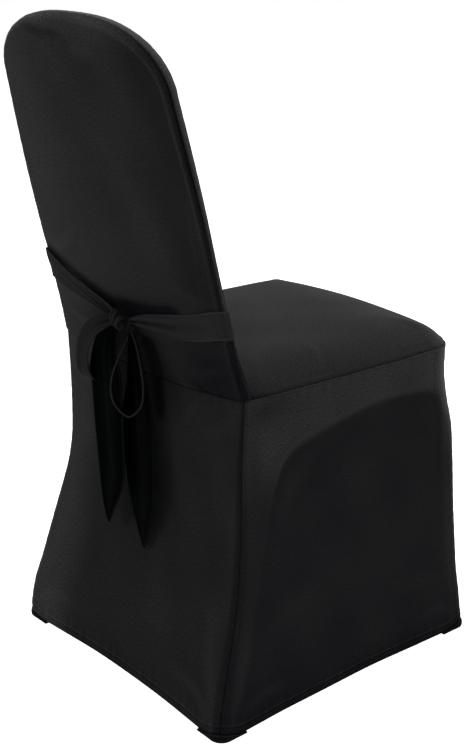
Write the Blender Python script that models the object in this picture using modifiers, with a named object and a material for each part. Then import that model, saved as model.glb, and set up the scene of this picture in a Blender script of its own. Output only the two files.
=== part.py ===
"""A fitted stretch cover for a stacking banquet chair, sewn from knit panels and tied in a bow behind.

The chair faces -Y and is left out, so the cover is a hollow that is open at the bottom. Each panel is an
open sheet lofted through the sections below and given its thickness inwards. The seams run down the
middle of a flat facet, so that neighbouring panels keep one even gap. Metres, +Z up, floor at Z = 0.
"""

import math
from collections import namedtuple

import bmesh
import bpy
import numpy as np

COLLECTION_NAME = "chair_cover"
CLOTH = 0.0016
TIE_CLOTH = 0.0020
SEAM_GAP = 0.0003
CENTRE_Y = 0.0344  # middle of the whole cover, front to back, in the sections' own frame

# Seat and waist
SEAT_SEAM_Z = 0.464
SEAT_CROWN = 0.030
SEAT_DOME = 0.28
CROWN_REACH = 0.190
SEAM_INSET = 0.0020  # the seat seam lies this far in from the side, on a 45 degree facet
SEAM_LIFT = 0.0004
WAIST_SAG = 0.016
CREASE_STEP = 0.0030
CORNER_EASE = 0.0006
SEAT_FRACTIONS = (0.77, 0.52, 0.26, 0.0)
SEAT_INSETS = (0.0, 0.003, 0.009, 0.019, 0.036)
SEAT_FRONT_FRACTIONS = (1.0, 0.93, 0.80, 0.64, 0.48, 0.36, 0.24, 0.12, 0.0)

# Backrest
LEAN = math.radians(13.66)
SEAT_BACK_Y = 0.2000
ARCH_HALF = 0.1900
ARCH_START = 0.3972
ARCH_RISE = 0.0925
ARCH_POWER = 2 / 2.6
ARCH_SPINE = 0.50
SWAY = 0.010  # the backrest leans this much towards the sitter's left
FRONT_CROWN = 0.020
REAR_CROWN = 0.002
CROWN_START = 0.12
LIFT_FADE = 0.120
LEVELLING = 0.150  # height over which the level bottom edge turns into a section square to the back
BACK_FRACTIONS = (0.86, 0.66, 0.44, 0.22, 0.0)
BACK_STEPS = 8
ARCH_STEPS = 8

# Foot pockets and hem
POCKET_REACH = 0.040
POCKET_HEIGHT = 0.0125
HEM_HEIGHT = 0.0030
HEM_ARCH = 0.0030
POCKET_BULGE = 0.0020
POCKET_CHORD = 0.62

# Side panels between the chair's legs
ARCH_CENTRE_Y = -0.050
ARCH_CENTRE_Z = 0.318
ARCH_REACH_Y = 0.200
ARCH_REACH_Z = 0.100
DRAWN_IN = 0.006
DRAWN_OVER = 0.35

KNOT = (0.023, 0.2335, 0.526)
KNOT_SIZE = (0.021, 0.017, 0.031)
NECK = (0.0170, 0.2175, 0.5135)
NECK_SIZE = (0.018, 0.0075, 0.030)

Level = namedtuple("Level", "z rear_x rear_y rear_r front_x front_y front_r rear_bow side_bow front_bow")
SKIRT = (
    Level(0.000, 0.2450, 0.2670, 0.018, 0.2120, 0.2440, 0.016, 0.0100, 0.0030, 0.0060),
    Level(0.030, 0.2455, 0.2655, 0.018, 0.2110, 0.2400, 0.016, 0.0100, 0.0030, 0.0060),
    Level(0.060, 0.2435, 0.2600, 0.017, 0.2100, 0.2362, 0.016, 0.0095, 0.0030, 0.0060),
    Level(0.100, 0.2382, 0.2480, 0.016, 0.2080, 0.2300, 0.016, 0.0090, 0.0030, 0.0060),
    Level(0.140, 0.2336, 0.2361, 0.015, 0.2060, 0.2268, 0.016, 0.0080, 0.0025, 0.0060),
    Level(0.180, 0.2281, 0.2250, 0.014, 0.2050, 0.2230, 0.016, 0.0070, 0.0020, 0.0060),
    Level(0.220, 0.2210, 0.2148, 0.013, 0.2040, 0.2195, 0.016, 0.0060, 0.0015, 0.0060),
    Level(0.260, 0.2135, 0.2068, 0.012, 0.2030, 0.2172, 0.016, 0.0055, 0.0010, 0.0055),
    Level(0.300, 0.2095, 0.2025, 0.012, 0.2030, 0.2145, 0.018, 0.0050, 0.0000, 0.0050),
    Level(0.340, 0.2082, 0.2012, 0.011, 0.2035, 0.2139, 0.027, 0.0045, -0.0005, 0.0040),
    Level(0.380, 0.2085, 0.2006, 0.010, 0.2040, 0.2128, 0.046, 0.0040, -0.0015, 0.0000),
    Level(0.420, 0.2103, 0.2002, 0.009, 0.2048, 0.2128, 0.060, 0.0040, -0.0030, -0.0060),
    Level(0.464, 0.2125, 0.2000, 0.0072, 0.2054, 0.2125, 0.060, 0.0039, -0.0040, -0.0100),
)

Rib = namedtuple("Rib", "s half edge")  # height up the back, half width, thickness at the edge
BACK = (
    Rib(0.000, 0.2125, 0.0160),
    Rib(0.045, 0.2064, 0.0115),
    Rib(0.100, 0.2045, 0.0100),
    Rib(0.180, 0.2035, 0.0100),
    Rib(0.260, 0.2015, 0.0120),
    Rib(0.330, 0.1965, 0.0140),
    Rib(0.3972, 0.1900, 0.0160),
)
TOP_EDGE = 0.0215
EDGE_ROUND = 0.45
EDGE_RADIUS = 0.0120

# Turn and rise aim the strap's width; cup bows it across and wave gives it an S.
Step = namedtuple("Step", "x y z width turn rise cup wave")
BAND_RISE = 76.3
RIBBON_SPLITS = 2
BAND_RIGHT = (
    Step(-0.2070, 0.2165, 0.5680, 0.040, 90, BAND_RISE, 0.000, 0.000),
    Step(-0.2056, 0.2258, 0.5676, 0.040, 90, BAND_RISE, 0.000, 0.000),
    Step(-0.1965, 0.2278, 0.5660, 0.040, 90, BAND_RISE, 0.000, 0.000),
    Step(-0.1500, 0.2246, 0.5525, 0.039, 90, BAND_RISE, 0.000, 0.000),
    Step(-0.1000, 0.2222, 0.5410, 0.037, 90, BAND_RISE, -0.001, 0.000),
    Step(-0.0500, 0.2210, 0.5335, 0.030, 90, BAND_RISE, -0.002, 0.000),
    Step(-0.0120, 0.2202, 0.5285, 0.019, 90, BAND_RISE, -0.002, 0.000),
    Step(0.0150, 0.2190, 0.5230, 0.009, 90, BAND_RISE, 0.000, 0.000),
)
BAND_LEFT = (
    Step(0.2070, 0.2170, 0.5710, 0.044, 90, BAND_RISE, 0.000, 0.000),
    Step(0.2056, 0.2265, 0.5706, 0.044, 90, BAND_RISE, 0.000, 0.000),
    Step(0.1965, 0.2286, 0.5690, 0.043, 90, BAND_RISE, 0.000, 0.000),
    Step(0.1500, 0.2240, 0.5490, 0.033, 90, BAND_RISE, 0.001, 0.000),
    Step(0.1000, 0.2222, 0.5370, 0.026, 90, BAND_RISE, 0.002, 0.000),
    Step(0.0600, 0.2236, 0.5305, 0.019, 90, BAND_RISE, 0.002, 0.000),
    Step(0.0270, 0.2300, 0.5265, 0.010, 90, BAND_RISE, 0.000, 0.000),
)
LOOP_RIGHT = (
    Step(0.0160, 0.2178, 0.5130, 0.009, 142, 8, 0.000, 0.000),
    Step(0.0040, 0.2205, 0.5050, 0.015, 142, 8, 0.001, 0.000),
    Step(-0.0160, 0.2270, 0.4880, 0.023, 142, 8, 0.001, 0.000),
    Step(-0.0270, 0.2295, 0.4650, 0.026, 142, 8, 0.001, 0.000),
    Step(-0.0287, 0.2280, 0.4387, 0.026, 142, 8, 0.001, 0.000),
    Step(-0.0250, 0.2316, 0.4120, 0.026, 142, 8, 0.001, 0.000),
    Step(-0.0135, 0.2424, 0.3990, 0.026, 142, 8, 0.001, 0.000),
    Step(-0.0010, 0.2545, 0.4120, 0.026, 142, 8, 0.001, 0.000),
    Step(0.0043, 0.2598, 0.4370, 0.026, 142, 8, 0.001, 0.000),
    Step(0.0020, 0.2560, 0.4640, 0.024, 142, 8, 0.001, 0.000),
    Step(0.0040, 0.2420, 0.4860, 0.018, 142, 8, 0.001, 0.000),
    Step(0.0120, 0.2275, 0.4965, 0.012, 142, 8, 0.000, 0.000),
    Step(0.0200, 0.2178, 0.5040, 0.009, 142, 8, 0.000, 0.000),
)
LOOP_LEFT = (
    Step(0.0260, 0.2330, 0.5270, 0.010, -10, 70, 0.000, 0.000),
    Step(0.0450, 0.2380, 0.5200, 0.018, -10, 60, 0.001, 0.000),
    Step(0.0720, 0.2420, 0.5060, 0.026, -8, 44, 0.002, 0.000),
    Step(0.0940, 0.2430, 0.4830, 0.030, -5, 22, 0.002, 0.000),
    Step(0.1040, 0.2420, 0.4560, 0.031, -2, 8, 0.002, 0.000),
    Step(0.1050, 0.2385, 0.4320, 0.031, 0, 0, 0.001, 0.000),
    Step(0.1030, 0.2305, 0.4210, 0.031, 0, 0, 0.001, 0.000),
    Step(0.1010, 0.2225, 0.4330, 0.031, 0, 0, 0.001, 0.000),
    Step(0.0970, 0.2195, 0.4580, 0.029, -2, 8, 0.001, 0.000),
    Step(0.0840, 0.2205, 0.4870, 0.026, -5, 24, 0.001, 0.000),
    Step(0.0590, 0.2245, 0.5090, 0.019, -8, 48, 0.001, 0.000),
    Step(0.0290, 0.2300, 0.5215, 0.009, -10, 64, 0.000, 0.000),
)
TAIL_LEFT = (
    Step(0.0260, 0.2330, 0.5190, 0.010, 176, -44, 0.000, 0.000),
    Step(0.0360, 0.2345, 0.5060, 0.026, 176, -40, 0.002, 0.000),
    Step(0.0500, 0.2340, 0.4800, 0.055, 178, -26, 0.003, 0.001),
    Step(0.0575, 0.2325, 0.4500, 0.074, 180, -8, 0.002, 0.003),
    Step(0.0565, 0.2315, 0.4050, 0.075, 180, 0, 0.001, 0.003),
    Step(0.0540, 0.2310, 0.3450, 0.071, 180, 0, 0.001, 0.003),
    Step(0.0516, 0.2310, 0.2860, 0.062, 180, 0, 0.001, 0.003),
    Step(0.0560, 0.2310, 0.2560, 0.045, 180, 0, 0.001, 0.002),
    Step(0.0605, 0.2310, 0.2330, 0.026, 180, 0, 0.000, 0.001),
    Step(0.0620, 0.2310, 0.2105, 0.005, 180, 0, 0.000, 0.000),
)
TAIL_RIGHT = (
    Step(0.0175, 0.2170, 0.5080, 0.010, 180, 0, 0.000, 0.000),
    Step(0.0150, 0.2150, 0.4900, 0.022, 180, 0, 0.001, 0.000),
    Step(0.0100, 0.2145, 0.4600, 0.038, 180, 0, 0.001, 0.001),
    Step(0.0065, 0.2145, 0.4300, 0.052, 180, 0, 0.001, 0.002),
    Step(0.0050, 0.2160, 0.3950, 0.070, 180, 0, 0.000, 0.003),
    Step(0.0005, 0.2175, 0.3300, 0.073, 180, 0, 0.000, 0.003),
    Step(-0.0045, 0.2190, 0.2850, 0.066, 180, 0, 0.000, 0.003),
    Step(-0.0080, 0.2200, 0.2420, 0.046, 180, 0, 0.000, 0.002),
    Step(-0.0100, 0.2205, 0.2150, 0.024, 180, 0, 0.000, 0.001),
    Step(-0.0110, 0.2205, 0.1920, 0.005, 180, 0, 0.000, 0.000),
)

Corner = namedtuple("Corner", "side end facets")  # side -1 is the sitter's right, end +1 is the rear
REAR_RIGHT = Corner(-1, 1, 5)
FRONT_RIGHT = Corner(-1, -1, 7)
FRONT_LEFT = Corner(1, -1, 7)
REAR_LEFT = Corner(1, 1, 5)

Wall = namedtuple("Wall", "name start end bow fractions")
SEAT_START = 0.0232  # how far along a side the seat begins, in front of the backrest
SIDE_FRACTIONS = (0.0203, SEAT_START, 0.05, 0.11, 0.19, 0.28, 0.37, 0.46, 0.55, 0.64, 0.74, 0.84, 0.93)
FAR_SIDE_FRACTIONS = tuple(1 - f for f in reversed(SIDE_FRACTIONS))
REAR_HALF = [0.5 - 0.5 * f for f in BACK_FRACTIONS]
REAR_FRACTIONS = tuple(REAR_HALF + [1 - f for f in reversed(REAR_HALF[:-1])])
FRONT_HALF = [0.5 - 0.5 * f for f in SEAT_FRONT_FRACTIONS[1:]]
FRONT_FRACTIONS = tuple(FRONT_HALF + [1 - f for f in reversed(FRONT_HALF[:-1])])
WALLS = (
    Wall("skirt_right", REAR_RIGHT, FRONT_RIGHT, "side_bow", SIDE_FRACTIONS),
    Wall("skirt_front", FRONT_RIGHT, FRONT_LEFT, "front_bow", FRONT_FRACTIONS),
    Wall("skirt_left", FRONT_LEFT, REAR_LEFT, "side_bow", FAR_SIDE_FRACTIONS),
    Wall("skirt_rear", REAR_LEFT, REAR_RIGHT, "rear_bow", REAR_FRACTIONS),
)
HEM_BAND = 0.012
WALL_ROWS = 13


def smooth_curve(places, values, at):
    """Reads a smooth curve through a table's values at the places asked for."""
    slopes = np.gradient(values, places, axis=0)
    i = np.clip(np.searchsorted(places, at) - 1, 0, len(places) - 2)
    step = places[i + 1] - places[i]
    t = (np.clip(at, places[0], places[-1]) - places[i]) / step
    t, step = (t[..., None], step[..., None]) if np.ndim(values) > 1 else (t, step)
    ends = (1 + 2 * t) * (1 - t) ** 2 * values[i] + t**2 * (3 - 2 * t) * values[i + 1]
    return ends + step * t * (1 - t) * ((1 - t) * slopes[i] - t * slopes[i + 1])


def table_row(table, place):
    """The table's columns, smoothly read at one place, as a row of the same kind."""
    columns = np.array(table, float)
    row = smooth_curve(columns[:, 0], columns, np.array(place, float))
    return type(table[0])(*row)


def smooth_step(x):
    """Rises smoothly from 0 to 1 as x does."""
    t = min(max(x, 0.0), 1.0)
    return t * t * (3 - 2 * t)


def new_material(name, colour, roughness):
    """A plain knit finish in one colour."""
    material = bpy.data.materials.new(name)
    material.use_nodes = True
    shader = material.node_tree.nodes["Principled BSDF"]
    shader.inputs["Base Color"].default_value = (*colour, 1.0)
    shader.inputs["Roughness"].default_value = roughness
    return material


def place_mesh(name, mesh, material, collection):
    """Puts a mesh in the cover's frame as one named object, swayed a little above the seat."""
    for vert in mesh.vertices:
        vert.co.x += SWAY * max(vert.co.z - SEAT_SEAM_Z, 0.0)
    obj = bpy.data.objects.new(name, mesh)
    obj.location.y = -CENTRE_Y
    obj.data.materials.append(material)
    collection.objects.link(obj)
    return obj


def loft(rows):
    """An open sheet of quads through rows of points, facing out where rows go up and points go round."""
    sheet = bmesh.new()
    grid = [[sheet.verts.new(point) for point in row] for row in rows]
    for low, high in zip(grid, grid[1:]):
        for i in range(len(low) - 1):
            sheet.faces.new((low[i], low[i + 1], high[i + 1], high[i]))
    for face in sheet.faces:
        face.smooth = True
    return sheet


def panel(name, rows, material, collection, thickness=CLOTH, offset=-1.0):
    """One piece of cloth: an open sheet with its thickness added by Solidify."""
    sheet = loft(rows)
    mesh = bpy.data.meshes.new(name)
    sheet.to_mesh(mesh)
    sheet.free()
    obj = place_mesh(name, mesh, material, collection)
    solidify = obj.modifiers.new("thickness", "SOLIDIFY")
    solidify.thickness = thickness
    solidify.offset = offset
    solidify.use_even_offset = True
    return obj


def corner_angles(facets):
    """Angles from a rounded corner's seam, in the middle of a facet, to the corner's end."""
    step = math.pi / 2 / facets
    return [0.0] + [step * (i + 0.5) for i in range((facets + 1) // 2)]


def corner_point(corner, z, angle):
    """A point of a rounded skirt corner and its outward direction; the angle is from the seam."""
    level = table_row(SKIRT, z)
    reach_x, reach_y, radius = (
        (level.rear_x, level.rear_y, level.rear_r)
        if corner.end > 0
        else (level.front_x, level.front_y, level.front_r)
    )
    diagonal = math.atan2(corner.end, corner.side)
    out = np.array((math.cos(diagonal + angle), math.sin(diagonal + angle)))
    middle = np.array((corner.side * (reach_x - radius), corner.end * (reach_y - radius)))
    on_facet = math.cos(math.pi / 4 / corner.facets) if angle == 0 else 1.0
    return middle + out * radius * on_facet, out


def drawn_in(y, z):
    """How far a side panel is stretched inwards below the seat rail and in front of the rear leg."""
    below = max(ARCH_CENTRE_Z - z, 0.0)
    leg_shift = 0.36 * below - 0.70 * below**2 if below < 0.25 else 0.0463
    along = max((y - ARCH_CENTRE_Y - leg_shift) / ARCH_REACH_Y, 0.0)
    ahead = max(ARCH_CENTRE_Y - y, 0.0)
    up = max((z - ARCH_CENTRE_Z + 1.3 * ahead**2) / ARCH_REACH_Z, 0.0)
    fade = 0.35 + 0.65 * smooth_step(z / 0.25)
    return DRAWN_IN * fade * smooth_step((1 - math.hypot(along, up)) / DRAWN_OVER)


def stations(wall):
    """The wall's columns from seam to seam: corner angles, fractions of the straight part, corner angles."""
    first = [("start", angle) for angle in corner_angles(wall.start.facets)]
    last = [("end", -angle) for angle in reversed(corner_angles(wall.end.facets))]
    return first + [("along", fraction) for fraction in wall.fractions] + last


def wall_point(wall, station, z):
    """A point of a skirt wall at a height, with its outward direction in plan."""
    part, value = station
    if part != "along":
        corner = wall.start if part == "start" else wall.end
        point, out = corner_point(corner, z, value)
        if value == 0:
            round_way = np.array((-out[1], out[0]))
            point = point + round_way * SEAM_GAP / 2 * (1 if part == "start" else -1)
        return point, out
    begin, out = corner_point(wall.start, z, math.pi / 4)
    finish, _ = corner_point(wall.end, z, -math.pi / 4)
    point = begin + (finish - begin) * value
    inwards = getattr(table_row(SKIRT, z), wall.bow) * 4 * value * (1 - value)
    if wall.bow == "side_bow":
        inwards += drawn_in(point[1], z) * smooth_step(6 * value) * smooth_step(6 * (1 - value))
    return point - out * inwards, out


def hem_height(wall, station):
    """Height of the hem: over the foot pocket at each corner, with a shallow arch between the feet."""
    z = POCKET_HEIGHT
    point, _ = wall_point(wall, station, z)
    ends = [wall_point(wall, end, z)[0] for end in (("start", 0.0), ("end", 0.0))]
    near = min(math.dist(point, end) for end in ends)
    over_pocket = (POCKET_HEIGHT - HEM_HEIGHT) * (1 - smooth_step(near / POCKET_REACH))
    share = min(near / math.dist(*ends), 0.5)
    return HEM_HEIGHT + over_pocket + HEM_ARCH * math.sin(math.pi * share)


def waist_height(x):
    """Height of the seam across the back, which sags between the rear legs."""
    return SEAT_SEAM_Z - WAIST_SAG * max(1 - (x / BACK[0].half) ** 2, 0.0)


def in_front_of_back(wall, station):
    """Whether this column of a skirt wall meets the seat rather than the backrest."""
    part, value = station
    if wall.name == "skirt_right":
        return part == "end" or (part == "along" and value >= SEAT_START)
    if wall.name == "skirt_left":
        return part == "start" or (part == "along" and value <= 1 - SEAT_START)
    return wall.name == "skirt_front"


def wall_column(wall, station):
    """One column of a skirt wall from hem to top seam."""
    low = hem_height(wall, station)
    top_point, _ = wall_point(wall, station, SEAT_SEAM_Z)
    meets_seat = in_front_of_back(wall, station)
    top = waist_height(top_point[0]) if wall.name == "skirt_rear" else SEAT_SEAM_Z
    shoulder = top - SEAM_INSET
    heights = [low, low + HEM_BAND]
    heights += list(np.linspace(low + HEM_BAND, shoulder, WALL_ROWS - 1)[1:])
    column = [(*wall_point(wall, station, z)[0], z) for z in heights]
    point, out = wall_point(wall, station, top)
    inset = SEAM_INSET if meets_seat else 0.0
    return column + [(*(point - out * inset), top)]


def make_skirt(material, collection):
    """The four skirt panels, from the seat seam or waist down to the hem."""
    for wall in WALLS:
        columns = [wall_column(wall, station) for station in stations(wall)]
        panel(wall.name, list(zip(*columns)), material, collection)


def back_point(x, s, depth, lift=0.0):
    """A point of the backrest: x across, s up its rear face, depth forward from that face."""
    level = max(1 - max(s, 0.0) / LEVELLING, 0.0) ** 2
    s = s - level * depth * math.tan(LEAN) + lift / math.cos(LEAN)
    y = SEAT_BACK_Y + s * math.sin(LEAN) - depth * math.cos(LEAN)
    return (x, y, SEAT_SEAM_Z + s * math.cos(LEAN) + depth * math.sin(LEAN))


Outline = namedtuple("Outline", "x s inward_x inward_s edge radius spine")


def back_outline():
    """Stations of the backrest's outline from the seat up one side to the middle of the top."""
    table = np.array(BACK)
    heights = np.concatenate(((0.0, 0.022), np.linspace(0.045, ARCH_START, BACK_STEPS)))
    halves = smooth_curve(table[:, 0], table[:, 1], heights)
    edges = smooth_curve(table[:, 0], table[:, 2], heights)
    places = [(half, s, edge, s) for half, s, edge in zip(halves, heights, edges)]
    for i in range(1, ARCH_STEPS + 1):
        angle = math.pi / 2 * i / ARCH_STEPS
        rise = math.sin(angle)
        x = ARCH_HALF * max(math.cos(angle), 0.0) ** ARCH_POWER if i < ARCH_STEPS else 0.0
        edge = edges[-1] + (TOP_EDGE - edges[-1]) * rise
        places.append((x, ARCH_START + ARCH_RISE * rise, edge, ARCH_START + ARCH_SPINE * ARCH_RISE * rise))
    line = np.array([place[:2] for place in places])
    tangent = np.gradient(line, axis=0)
    tangent[0], tangent[-1] = (0.0, 1.0), (-1.0, 0.0)
    tangent /= np.linalg.norm(tangent, axis=1)[:, None]
    outline = []
    for (x, s, edge, spine), (along_x, along_s) in zip(places, tangent):
        radius = min(EDGE_ROUND * edge, EDGE_RADIUS)
        outline.append(Outline(x, s, -along_s, along_x, edge, radius, spine))
    return outline


def edge_point(place, inset, depth, lift=0.0):
    """A point near the backrest's edge: inset from the outline, depth forward from the rear face."""
    x = max(place.x + place.inward_x * inset, 0.0)
    return back_point(x, place.s + place.inward_s * inset, depth, lift)


def rounded_edge(place, angles, front):
    """Inset and depth of points round one of the edge's two corners; 0 is its side and 90 its face."""
    points = []
    for angle in angles:
        radius = place.radius * (math.cos(math.radians(9)) if angle == 45 else 1.0)
        inset = place.radius - radius * math.cos(math.radians(angle))
        depth = place.radius - radius * math.sin(math.radians(angle))
        points.append((inset, place.edge - depth if front else depth))
    return points


def seat_rise(depth_in, x):
    """How far the seat has risen at this distance in from its seam, fuller towards the middle."""
    power = CROWN_REACH / SEAT_CROWN
    full = 1 + SEAT_DOME * max(1 - (x / SKIRT[-1].front_x) ** 2, 0.0)
    return full * SEAT_CROWN * (1 - (1 - min(max(depth_in, 0.0), CROWN_REACH) / CROWN_REACH) ** power)


def crease_lift(x):
    """Height of the crease between seat and backrest above the seat seam."""
    return seat_rise(BACK[0].half - SEAM_INSET - abs(x), x) + SEAM_LIFT


def back_face_row(place, front):
    """A row of the rear or front backrest panel, from the seam at its edge in to the centre line."""
    seam_shift = SEAM_GAP / 2 * math.sqrt(0.5)
    low = max(1 - place.s / LIFT_FADE, 0.0) ** 2
    row = []
    for i, (inset, depth) in enumerate(rounded_edge(place, (45, 54, 72, 90), front)):
        if i == 0:
            inset, depth = inset + seam_shift, depth + (seam_shift if front else -seam_shift)
        x = place.x + place.inward_x * inset
        row.append((x, place.s + place.inward_s * inset, depth))
    edge_x, edge_s, depth = row[-1]
    rise = smooth_step(place.s / CROWN_START)
    for fraction in BACK_FRACTIONS:
        crown = (FRONT_CROWN * rise if front else -REAR_CROWN * rise) * (1 - fraction**2)
        row.append((edge_x * fraction, place.spine + (edge_s - place.spine) * fraction, depth + crown))
    points = []
    for x, s, depth in row:
        shift = crease_lift(x) if front else waist_height(x) - SEAT_SEAM_Z + SEAM_GAP
        points.append(back_point(max(x, 0.0), s, depth, low * shift))
    return points


def mirrored(points):
    """The same points on the other side of the middle."""
    return [(-x, y, z) for x, y, z in points]


def fan_sheet(half_rows, facing_rear):
    """An open sheet over both halves of a panel whose rows fan out round the arch."""
    sheet = bmesh.new()
    for side in (1, -1):
        grid = [[sheet.verts.new((side * x, y, z)) for x, y, z in row] for row in half_rows]
        for low, high in zip(grid, grid[1:]):
            for i in range(len(low) - 1):
                corners = (low[i], low[i + 1], high[i + 1], high[i])
                sheet.faces.new(corners if (side > 0) == facing_rear else corners[::-1])
    bmesh.ops.remove_doubles(sheet, verts=sheet.verts, dist=0.00001)
    for face in sheet.faces:
        face.smooth = True
    return sheet


def make_back_face(name, outline, front, material, collection):
    """The rear or the front panel of the backrest."""
    sheet = fan_sheet([back_face_row(place, front) for place in outline], facing_rear=not front)
    mesh = bpy.data.meshes.new(name)
    sheet.to_mesh(mesh)
    sheet.free()
    obj = place_mesh(name, mesh, material, collection)
    solidify = obj.modifiers.new("thickness", "SOLIDIFY")
    solidify.thickness = CLOTH
    solidify.offset = -1.0
    solidify.use_even_offset = True
    return obj


def boxing_row(place):
    """A section across the edge strip, from the rear seam round the edge to the front seam."""
    seam_shift = SEAM_GAP / 2 * math.sqrt(0.5)
    rear = rounded_edge(place, (45, 36, 18, 0), front=False)
    fore = rounded_edge(place, (0, 18, 36, 45), front=True)
    rear[0] = (rear[0][0] - seam_shift, rear[0][1] + seam_shift)
    fore[-1] = (fore[-1][0] - seam_shift, fore[-1][1] - seam_shift)
    low = max(1 - place.s / LIFT_FADE, 0.0) ** 2
    return [edge_point(place, inset, depth, low * 2 * SEAM_GAP) for inset, depth in rear + fore]


def make_boxing(outline, material, collection):
    """The strip that joins the backrest's two panels, up one side, over the top and down the other."""
    half = [boxing_row(place) for place in outline]
    rows = half + [mirrored(row) for row in half[-2::-1]]
    panel("back_boxing", [row[::-1] for row in rows], material, collection)


def seat_depth(x, y, sides):
    """Distance in from the seat's seam, round its front corners too."""
    level = SKIRT[-1]
    radius = level.front_r - SEAM_INSET
    middle_x, middle_y = level.front_x - level.front_r, level.front_r - level.front_y
    bulge = -level.front_bow * max(1 - (x / middle_x) ** 2, 0.0)
    if y < middle_y:
        return radius + bulge - math.hypot(max(abs(x) - middle_x, 0.0), middle_y - y)
    places, halves = sides
    return min(float(np.interp(y, places, halves)) - abs(x), radius + bulge + y - middle_y)


def seat_edge():
    """The seat seam down the sitter's right side and round the front corner, in plan."""
    side, front = WALLS[0], WALLS[1]
    inset = SEAM_INSET + SEAM_GAP
    walk = [(side, ("along", f)) for f in SIDE_FRACTIONS[1:]]
    walk += [(side, ("end", -a)) for a in reversed(corner_angles(7)[1:])]
    walk += [(front, ("start", a)) for a in corner_angles(7)[1:]]
    points = []
    for wall, station in walk:
        point, out = wall_point(wall, station, SEAT_SEAM_Z)
        points.append(point - out * inset)
    return points


def make_seat(outline, material, collection):
    """The crowned seat panel, from the crease at the backrest to the rounded front edge."""
    edge = seat_edge()
    sides = (np.array([p[1] for p in edge][::-1]), np.array([-p[0] for p in edge][::-1]))
    crease = mirrored(back_face_row(outline[0], front=True))
    crease[0] = (crease[0][0] + CORNER_EASE, *crease[0][1:])
    half_rows = [[(x, y - SEAM_GAP, z - SEAM_LIFT) for x, y, z in crease]]
    for i, (edge_x, edge_y) in enumerate(edge):
        ys = [edge_y] * len(SEAT_FRONT_FRACTIONS)
        if i == len(edge) - 1:
            xs = [edge_x * f for f in SEAT_FRONT_FRACTIONS]
            ys = [edge_y + SKIRT[-1].front_bow * (1 - f * f) for f in SEAT_FRONT_FRACTIONS]
        else:
            xs = [edge_x + inset * min(1.0, -edge_x / ARCH_HALF) for inset in SEAT_INSETS]
            xs += [xs[-1] * f for f in SEAT_FRACTIONS]
        if i == 0:
            xs = [edge_x + CORNER_EASE] + [point[0] for point in crease[1:]]
            ys = [edge_y] + [point[1] - CREASE_STEP for point in crease[1:]]
        rise = [seat_rise(seat_depth(x, y, sides), x) for x, y in zip(xs, ys)]
        half_rows.append([(x, y, SEAT_SEAM_Z + SEAM_GAP + up) for x, y, up in zip(xs, ys, rise)])
    rows = [row + mirrored(row)[-2::-1] for row in half_rows]
    panel("seat_panel", rows[::-1], material, collection)


def pocket_height(reach):
    """Height of a foot pocket's wall at this distance from the corner's seam."""
    return HEM_HEIGHT + (POCKET_HEIGHT - HEM_HEIGHT) * (1 - smooth_step(reach / POCKET_REACH)) - SEAM_LIFT


def make_pocket(name, before, after, material, collection):
    """A gusset sewn across a bottom corner, which the chair's foot stands in."""
    low_z = POCKET_HEIGHT / 2
    corner = before.end
    seam, _ = corner_point(corner, low_z, 0.0)
    arrive, leave = [], []
    for share in (0.0, 0.33, 0.66):
        for wall, end, points in ((before, "end", arrive), (after, "start", leave)):
            at = -math.pi / 4 if end == "end" else math.pi / 4
            begin, out = corner_point(corner, low_z, at)
            other, _ = corner_point(wall.start if end == "end" else wall.end, low_z, -at)
            way = (other - begin) / math.dist(other, begin)
            points.append((begin + way * POCKET_REACH * 0.8 * (1 - share), out))
    turn = corner_angles(corner.facets)[1:]
    round_corner = [corner_point(corner, low_z, -a) for a in reversed(turn)]
    round_corner += [corner_point(corner, low_z, a) for a in turn]
    walk = arrive + round_corner + leave[::-1]
    first, last = walk[0][0], walk[-1][0]
    columns = []
    for i, (point, out) in enumerate(walk):
        reach = math.dist(point, seam)
        top = pocket_height(reach)
        bulge = POCKET_BULGE * (1 - smooth_step(reach / POCKET_REACH))
        chord = first + (last - first) * i / (len(walk) - 1)
        back = point - out * 0.008
        inner = back + (chord - back) * POCKET_CHORD * (1 - smooth_step(reach / POCKET_REACH * 0.7))
        outer = point + out * bulge
        foot = point + out * bulge * 0.5
        column = [(*inner, 0.0), (*(0.5 * inner + 0.5 * point), 0.0), (*(point - out * 0.0008), 0.0)]
        column += [(*foot, 0.0010), (*outer, top * 0.55), (*point, top)]
        columns.append(column)
    panel(name, list(zip(*columns)), material, collection)


def ribbon_rows(steps):
    """Rows across a strap that follows its steps on one smooth curve."""
    table = np.array(steps, float)
    table[:, 4:6] = np.radians(table[:, 4:6])
    travel = np.concatenate(([0.0], np.cumsum(np.linalg.norm(np.diff(table[:, :3], axis=0), axis=1))))
    places = np.arange((len(steps) - 1) * RIBBON_SPLITS + 1) / RIBBON_SPLITS
    at = np.interp(places, np.arange(len(steps)), travel)
    read = smooth_curve(travel, table, at)
    centres = read[:, :3]
    ways = np.gradient(centres, axis=0)
    rows = []
    for centre, way, (width, turn, rise, cup, wave) in zip(centres, ways, read[:, 3:]):
        across = np.array((math.cos(rise) * math.cos(turn), math.cos(rise) * math.sin(turn), math.sin(rise)))
        normal = np.cross(way, across)
        normal /= np.linalg.norm(normal)
        row = []
        for v in (-1.0, -0.6, -0.2, 0.2, 0.6, 1.0):
            bend = cup * (1 - v * v) + wave * math.sin(math.pi * v)
            row.append(tuple(centre + across * width / 2 * v + normal * bend))
        rows.append(row)
    return rows


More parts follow.
